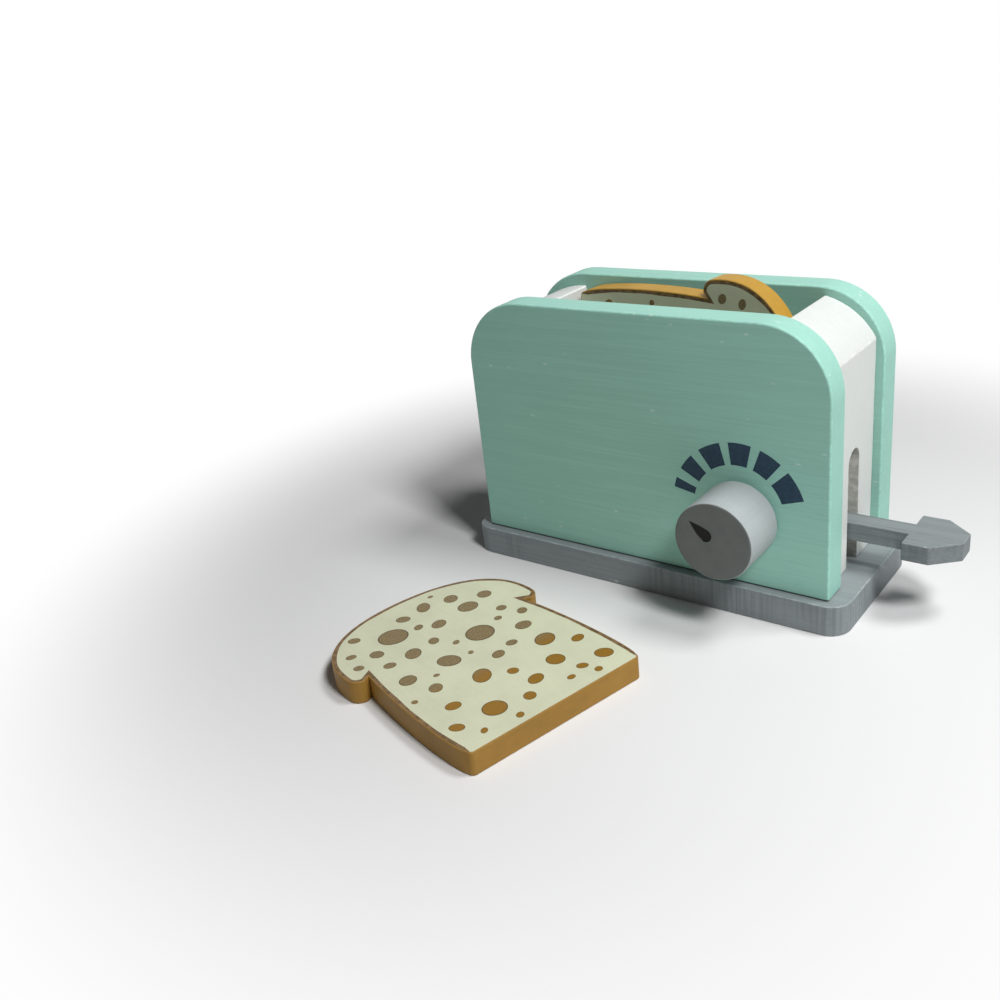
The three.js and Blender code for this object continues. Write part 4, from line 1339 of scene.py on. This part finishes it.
class TOASTER_OT_dial(bpy.types.Operator):
    """Prints the dial's marks round the knob, wider from left to right"""

    bl_idname = "toaster.dial"
    bl_label = "Dial marks"
    bl_options = {"REGISTER", "UNDO"}
    marks_in_degrees = (
        (160, 169), (134.7, 150.5), (105.5, 125.8), (78.2, 97.8), (51.1, 70.4), (18, 43.1)
    )

    def execute(self, context):
        sizes, finish = context.scene.toaster_sizes, context.scene.toaster_finish
        knob = middle_of("knob")
        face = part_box("front_board")[0].y
        centre = (knob.x + sizes.dial_side, knob.z + sizes.dial_rise)
        bm = bmesh.new()
        for start, end in self.marks_in_degrees:
            first, last = math.radians(start), math.radians(end)
            outer = arc(centre, sizes.dial_outer, first, last, SMALL_ARC_STEPS)
            inner = arc(centre, sizes.dial_inner, last, first, SMALL_ARC_STEPS)
            add_prism(bm, outer + inner, face - sizes.film, face + sizes.film, "Y")
        ink = ink_material("dial_ink", finish.dial_ink, least_roughness=0.42)
        marks = new_piece("dial_marks", bm, ink)
        dress(marks, "housing", "mint_paint")
        return {"FINISHED"}


class TOASTER_OT_slices(bpy.types.Operator):
    """Makes the two toast slices with their printed faces and golden edges"""

    bl_idname = "toaster.slices"
    bl_label = "Toast slices"
    bl_options = {"REGISTER", "UNDO"}
    loose_turn = math.radians(75.7)
    lean = math.radians(3.7)
    skew = math.radians(6)
    crust_gold, crumb_face, crust_line = 0, 1, 2

    def execute(self, context):
        sizes, finish = context.scene.toaster_sizes, context.scene.toaster_finish
        slices = context.scene.slice_sizes
        face, line, ink = crumb(finish), crust_line_ink(finish), pore_ink(finish)
        on_side = Matrix.Rotation(QUARTER, 4, "X") @ Matrix.Rotation(self.lean - QUARTER, 4, "Z")
        lying = Matrix.Rotation(-self.skew, 4, "Z") @ on_side
        flat = Matrix.Rotation(self.loose_turn, 4, "Z")
        low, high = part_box("toast_on_table")
        thickness = high.z - low.z
        # The loose slice gets the darker copy of the crust gold, which is painted shade
        for node, body, turn, gold in (
            ("toast_on_table", "slice_on_table", flat, finish.shaded_crust_gold),
            ("toast_in_well", "slice_in_well", lying, finish.crust_gold),
        ):
            crust = crust_paint(f"crust_{node}", finish, gold)
            place = self.seat(turn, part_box(node)[0], thickness, slices)
            toast = self.slice_body(f"printed_{node}", slices, thickness, sizes.film, [crust, face, line])
            finish_shading(toast)
            pores = self.pores(f"{node}_pores", slices, thickness, sizes.film, ink)
            for piece in (toast, pores):
                keep_slice_place(piece)
                piece.data.transform(place)
            dress(toast, body, "toast_paint", node)
            dress(pores, body, "toast_paint")
        return {"FINISHED"}

    def seat(self, turn, low, thickness, slices):
        """The slice's place: turned, with its lowest corner where the CAD node's is."""
        outline = slice_outline(slices)
        corners = [turn @ Vector((x, y, z)) for x, y in outline for z in (0, thickness)]
        reach = Vector([min(c[k] for c in corners) for k in range(3)])
        return Matrix.Translation(low - reach) @ turn

    def slice_body(self, name, slices, thickness, film, materials):
        """Slice with rounded arrises and a brown line along the edge of both faces."""
        outline = slice_outline(slices, corner=slices.foot_corner)
        bottom, top = film, thickness - film
        bm = bmesh.new()
        arris = bm.verts.layers.float.new("arris")
        levels = self.arris_levels(slices.arris)
        lower = [(depth, bottom + rise) for depth, rise in levels]
        upper = [(depth, top - rise) for depth, rise in reversed(levels)]
        rings = []
        for depth, height in lower + upper:
            ring = ring_of(bm, [(x, y, height) for x, y in inset(outline, [depth] * len(outline))])
            worn = 0.0 if depth in (0.0, slices.arris) else 1.0
            for vertex in ring:
                vertex[arris] = worn
            rings.append(ring)
        for first, second in zip(rings, rings[1:]):
            bridge(bm, first, second, self.crust_gold)
        widths = self.crust_widths(outline, slices)
        line = inset(outline, [slices.arris + width for width in widths])
        for ring, height in ((rings[0], bottom), (rings[-1], top)):
            inner = ring_of(bm, [(x, y, height) for x, y in line])
            bridge(bm, ring, inner, self.crust_line)
            bm.faces.new(inner).material_index = self.crumb_face
        return new_piece(name, bm, *materials)

    def arris_levels(self, width):
        """Depth and rise of the rings that round an arris, from the face to the side."""
        turns = [QUARTER * i / ARRIS_SEGMENTS for i in range(ARRIS_SEGMENTS + 1)]
        return [(width - width * math.sin(turn), width * (1 - math.cos(turn))) for turn in turns]

    def crust_widths(self, outline, slices):
        """Width of the brown line at each point: it wavers, and thins out towards the foot."""
        long_wave, short_wave, short_share, short_start, least = 0.0071, 0.0029, 0.7, 1.3, 0.00002
        reach = 0.0
        widths = []
        for i, point in enumerate(outline):
            reach += math.dist(point, outline[i - 1])
            waver = math.sin(reach / long_wave) + short_share * math.sin(reach / short_wave + short_start)
            foot = min(1.0, point[1] / slices.crust_fade)
            widths.append(max(least, foot * (slices.crust_line + slices.crust_wobble * waver)))
        return widths

    def pores(self, name, slices, thickness, film, material):
        """Printed pores on both faces, from a seeded layout."""
        layout = pore_layout(slices)
        spots = [(x, y, height) for height in (film, thickness - film) for x, y, _, _, _ in layout]
        piece = point_piece(name, spots)
        size = piece.data.attributes.new("pore_size", "FLOAT_VECTOR", "POINT")
        turn = piece.data.attributes.new("pore_turn", "FLOAT_VECTOR", "POINT")
        for i, (_, _, long_radius, short_radius, angle) in enumerate(layout * 2):
            size.data[i].vector = (long_radius, short_radius, 1.0)
            turn.data[i].vector = (0.0, 0.0, angle)
        tree = bpy.data.node_groups.get("printed pores") or pore_tree()
        run_tree(piece, tree, {"Film": film, "Sides": PORE_SIDES, "Material": material})
        return piece


def inside_distance(point, outline):
    """How far a point lies inside an outline, negative outside."""
    x, y = point
    inside = False
    nearest = math.inf
    for i, (bx, by) in enumerate(outline):
        ax, ay = outline[i - 1]
        if (ay > y) != (by > y) and x < ax + (y - ay) * (bx - ax) / (by - ay):
            inside = not inside
        side = Vector((bx - ax, by - ay))
        along = min(1.0, max(0.0, Vector((x - ax, y - ay)).dot(side) / side.length_squared))
        nearest = min(nearest, math.dist(point, (ax + along * side.x, ay + along * side.y)))
    return nearest if inside else -nearest


def pore_layout(slices):
    """Places, radii and turns of the pores: large ones first, each in the freest of a few spots."""
    tries, choices, flattest, roundest, most_turned = 40, 6, 0.74, 0.94, 0.9
    dice = random.Random(slices.pore_seed)
    outline = slice_outline(slices, SMALL_ARC_STEPS)
    half = slices.crown / 2
    placed = []

    def room(spot):
        """Free distance round a spot."""
        others = [math.dist(spot, other[:2]) - other[2] - slices.pore_gap for other in placed]
        return min([inside_distance(spot, outline) - slices.pore_margin] + others)

    for count, smallest, largest in PORE_KINDS:
        for _ in range(count):
            radius = dice.uniform(smallest, largest)
            spots = [(dice.uniform(-half, half), dice.uniform(0, slices.height)) for _ in range(tries)]
            free = [spot for spot in spots if room(spot) > radius]
            if free:
                spot = max(free[:choices], key=room)
                short = radius * dice.uniform(flattest, roundest)
                placed.append((*spot, radius, short, dice.uniform(-most_turned, most_turned)))
    return placed


def keep_slice_place(piece):
    """Stores each point's place in the slice's own frame, for its materials."""
    mesh = piece.data
    places = mesh.attributes.new("slice_place", "FLOAT_VECTOR", "POINT")
    for vertex, place in zip(mesh.vertices, places.data):
        place.vector = vertex.co


def paint_node(name, material):
    """Gives a carried-over CAD node its material."""
    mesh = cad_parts[name].data
    mesh.materials.clear()
    mesh.materials.append(material)


class TOASTER_OT_screws(bpy.types.Operator):
    """Makes the countersunk screws under the base and under the platform"""

    bl_idname = "toaster.screws"
    bl_label = "Wood screws"
    bl_options = {"REGISTER", "UNDO"}

    def execute(self, context):
        sizes, finish = context.scene.toaster_sizes, context.scene.toaster_finish
        tree = screw_tree()
        for name, screws, body in (
            ("base_screws", BASE_SCREWS, "housing"),
            ("platform_screws", PLATFORM_SCREWS, "lever_carriage"),
        ):
            low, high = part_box(screws[0])
            middles = [middle_of(screw) for screw in screws]
            feet = [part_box(screw)[0].z for screw in screws]
            piece = point_piece(name, [(middle.x, middle.y, z) for middle, z in zip(middles, feet)])
            values = {
                "Head Radius": sizes.screw_head,
                "Head Height": sizes.screw_head_height,
                "Shank Radius": sizes.screw_shank,
                "Length": high.z - low.z,
                "Point": sizes.screw_point,
                "Thread Pitch": sizes.thread_pitch,
                "Thread Depth": sizes.thread_depth,
                "Recess Width": sizes.recess_width,
                "Recess Depth": sizes.recess_depth,
                "Sides": SCREW_SIDES,
                "Material": steel(finish),
            }
            run_tree(piece, tree, values)
            finish_shading(piece)
            dress(piece, body, "screw_steel", *screws)
        return {"FINISHED"}


class TOASTER_OT_knob_screw(bpy.types.Operator):
    """Makes the pan head screw and the washer that hold the knob"""

    bl_idname = "toaster.knob_screw"
    bl_label = "Knob screw and washer"
    bl_options = {"REGISTER", "UNDO"}
    recess_reach, recess_width = 0.55, 0.14

    def execute(self, context):
        finish = context.scene.toaster_finish
        low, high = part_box("knob_screw")
        head = (high.x - low.x) / 2
        shank = head / 2
        seat = high.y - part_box("knob_washer")[1].y - FIT_GAP
        length = high.y - low.y
        middle = middle_of("knob_screw")
        place = facing_front(middle.x, high.y, middle.z)
        turns = [QUARTER * i / SMALL_ARC_STEPS for i in range(1, SMALL_ARC_STEPS + 1)]
        dome = [(head * math.sin(turn), seat * (1 - math.cos(turn))) for turn in turns]
        profile = [(0, 0), *dome, (head, seat), (shank, seat), (shank, length - shank), (0, length)]
        screw = turned("pan_screw", without_doubles(profile), HOLE_SIDES, place, steel(finish))
        reach = head * self.recess_reach
        width = head * self.recess_width
        bars = []
        for x, z in ((reach, width), (width, reach)):
            corner_low = (middle.x - x, high.y - seat / 2, middle.z - z)
            corner_high = (middle.x + x, high.y + OVERRUN, middle.z + z)
            bars.append(box("bar", corner_low, corner_high, steel(finish)))
        cut_away(screw, bars)
        finish_shading(screw)
        dress(screw, "knob_assembly", "screw_steel", "knob_screw")
        self.washer(shank + FIT_GAP, finish)
        return {"FINISHED"}

    def washer(self, hole, finish):
        """Flat ring under the screw's head."""
        low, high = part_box("knob_washer")
        middle = middle_of("knob_washer")
        radius = (high.x - low.x) / 2
        thickness = high.y - low.y
        edge = thickness / 5
        profile = [
            (hole, 0),
            (radius - edge, 0),
            (radius, edge),
            (radius, thickness - edge),
            (radius - edge, thickness),
            (hole, thickness),
        ]
        bm = bmesh.new()
        rings = []
        for ring_radius, height in profile:
            points = circle((middle.x, middle.z), ring_radius, HOLE_SIDES)
            rings.append(ring_of(bm, [(x, low.y + height, z) for x, z in points]))
        for first, second in zip(rings, rings[1:] + rings[:1]):
            bridge(bm, first, second)
        washer = new_piece("flat_washer", bm, steel(finish))
        finish_shading(washer)
        dress(washer, "knob_assembly", "screw_steel", "knob_washer")


class TOASTER_OT_dowels(bpy.types.Operator):
    """Gives the blind dowels their bare wood"""

    bl_idname = "toaster.dowels"
    bl_label = "Dowels"
    bl_options = {"REGISTER", "UNDO"}

    def execute(self, context):
        finish = context.scene.toaster_finish
        for name in DOWELS:
            paint_node(name, pine(finish))
        return {"FINISHED"}


class TOASTER_OT_stage(bpy.types.Operator):
    """Sets the camera, the lamps, the sky and the pale floor"""

    bl_idname = "toaster.stage"
    bl_label = "Stage"
    bl_options = {"REGISTER", "UNDO"}
    sensor_width, nearest, farthest = 36.0, 0.01, 20.0
    floor_shade, floor_roughness = 0.995, 0.9

    def execute(self, context):
        scene = context.scene
        stage = scene.toaster_stage
        self.camera(scene, stage)
        self.lamps(stage)
        self.sky(scene, stage)
        self.floor(stage, scene.toaster_finish)
        scene.view_settings.view_transform = "Standard"
        return {"FINISHED"}

    def camera(self, scene, stage):
        """Camera at the photograph's viewing angle."""
        azimuth, elevation, roll = stage.azimuth, stage.elevation, stage.roll
        back = Vector((
            math.sin(azimuth) * math.cos(elevation),
            -math.cos(azimuth) * math.cos(elevation),
            math.sin(elevation),
        ))
        level = Vector((math.cos(azimuth), math.sin(azimuth), 0))
        right = math.cos(roll) * level + math.sin(roll) * back.cross(level)
        data = bpy.data.cameras.new("camera")
        data.sensor_width = self.sensor_width
        data.lens = stage.lens
        data.clip_start = self.nearest
        data.clip_end = self.farthest
        scene.camera = add_object("camera", data)
        turn = Matrix((right, back.cross(right), back)).transposed().to_4x4()
        scene.camera.matrix_world = Matrix.Translation(stage.camera_place) @ turn

    def lamps(self, stage):
        """A soft lamp high at the front right and a weaker one above the lever's end."""
        middle = Vector((0, 0, middle_of("front_board").z))
        for name, place, side, level in (
            ("main_lamp", stage.lamp_place, stage.lamp_side, stage.lamp_level),
            ("top_lamp", stage.top_place, stage.top_side, stage.top_level),
        ):
            distance = place - middle
            data = bpy.data.lights.new(name, "AREA")
            data.energy = level * math.pi**2 * distance.length_squared
            data.size = side
            lamp = add_object(name, data)
            lamp.location = place
            lamp.rotation_euler = distance.to_track_quat("Z", "Y").to_euler()

    def sky(self, scene, stage):
        """Even sky, white where the camera and reflections see it."""
        world = bpy.data.worlds.new("sky")
        world.use_nodes = True
        scene.world = world
        tree = world.node_tree
        strength = remap(tree, seen_rays(tree), 0.0, 1.0, stage.sky_level, 1.0, smooth=False)
        background = tree.nodes["Background"].inputs
        link_all(tree, background, {"Color": (1.0, 1.0, 1.0, 1.0), "Strength": strength})

    def floor(self, stage, finish):
        """Pale floor that keeps the shadow and turns into the white background further out."""
        material, tree, shader = new_material("pale_floor")
        place = object_place(tree)
        by_eye = seen_rays(tree)
        grain = noise(tree, place, 900.0, detail=2.0, roughness=0.5)
        seen = shades(tree, remap(tree, grain, 0.3, 0.7), finish.floor, self.floor_shade, 1.0)
        distance = add_node(tree, "ShaderNodeVectorMath", {0: place}, operation="LENGTH").outputs["Value"]
        far = remap(tree, distance, stage.fade_start, stage.fade_end)
        dim = remap(tree, distance, stage.bounce_start, stage.bounce_end)
        bounce = mix(tree, dim, finish.floor_bounce, finish.floor_far)
        colour = mix(tree, by_eye, bounce, seen)
        plain = {"Base Color": colour, "Roughness": self.floor_roughness, "Specular IOR Level": 0.0}
        link_all(tree, shader, plain)
        surface = tree.nodes["Principled BSDF"].outputs[0]
        white = add_node(tree, "ShaderNodeEmission", {"Strength": 1.0}).outputs[0]
        inputs = {0: times(tree, far, by_eye), 1: surface, 2: white}
        blend = add_node(tree, "ShaderNodeMixShader", inputs)
        tree.links.new(blend.outputs[0], tree.nodes["Material Output"].inputs["Surface"])
        corners = [(-1, -1), (1, -1), (1, 1), (-1, 1)]
        bm = bmesh.new()
        bm.faces.new(ring_of(bm, [(stage.floor_reach * x, stage.floor_reach * y, 0) for x, y in corners]))
        new_piece("floor", bm, material)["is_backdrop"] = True


OPERATORS = (
    TOASTER_OT_base,
    TOASTER_OT_side_boards,
    TOASTER_OT_end_blocks,
    TOASTER_OT_lever,
    TOASTER_OT_platform,
    TOASTER_OT_knob,
    TOASTER_OT_dial,
    TOASTER_OT_slices,
    TOASTER_OT_screws,
    TOASTER_OT_knob_screw,
    TOASTER_OT_dowels,
    TOASTER_OT_stage,
)


class TOASTER_PT_pieces(bpy.types.Panel):
    """Lists the piece makers"""

    bl_label = "Wooden toy toaster"
    bl_idname = "TOASTER_PT_pieces"
    bl_space_type = "VIEW_3D"
    bl_region_type = "UI"
    bl_category = "Toaster"

    def draw(self, _context):
        for operator in OPERATORS:
            self.layout.operator(operator.bl_idname)


GROUPS = {
    "toaster_sizes": ToasterSizes,
    "slice_sizes": SliceSizes,
    "toaster_finish": Finish,
    "toaster_stage": Stage,
}


def register():
    for cls in (*GROUPS.values(), *OPERATORS, TOASTER_PT_pieces):
        bpy.utils.register_class(cls)
    for name, cls in GROUPS.items():
        setattr(bpy.types.Scene, name, PointerProperty(type=cls))


def unregister():
    for name in GROUPS:
        delattr(bpy.types.Scene, name)
    for cls in reversed((*GROUPS.values(), *OPERATORS, TOASTER_PT_pieces)):
        bpy.utils.unregister_class(cls)


def write_sizes():
    """Gathers the CAD box and the visual model's box as lists, and keeps nothing of them."""
    boxes = {"cad": CAD_BOX, "visual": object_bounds()}
    {name: [list(corner) for corner in pair] for name, pair in boxes.items()}


def main():
    register()
    for operator in OPERATORS:
        group, name = operator.bl_idname.split(".")
        getattr(getattr(bpy.ops, group), name)()
    write_sizes()


if __name__ == "__main__":
    main()
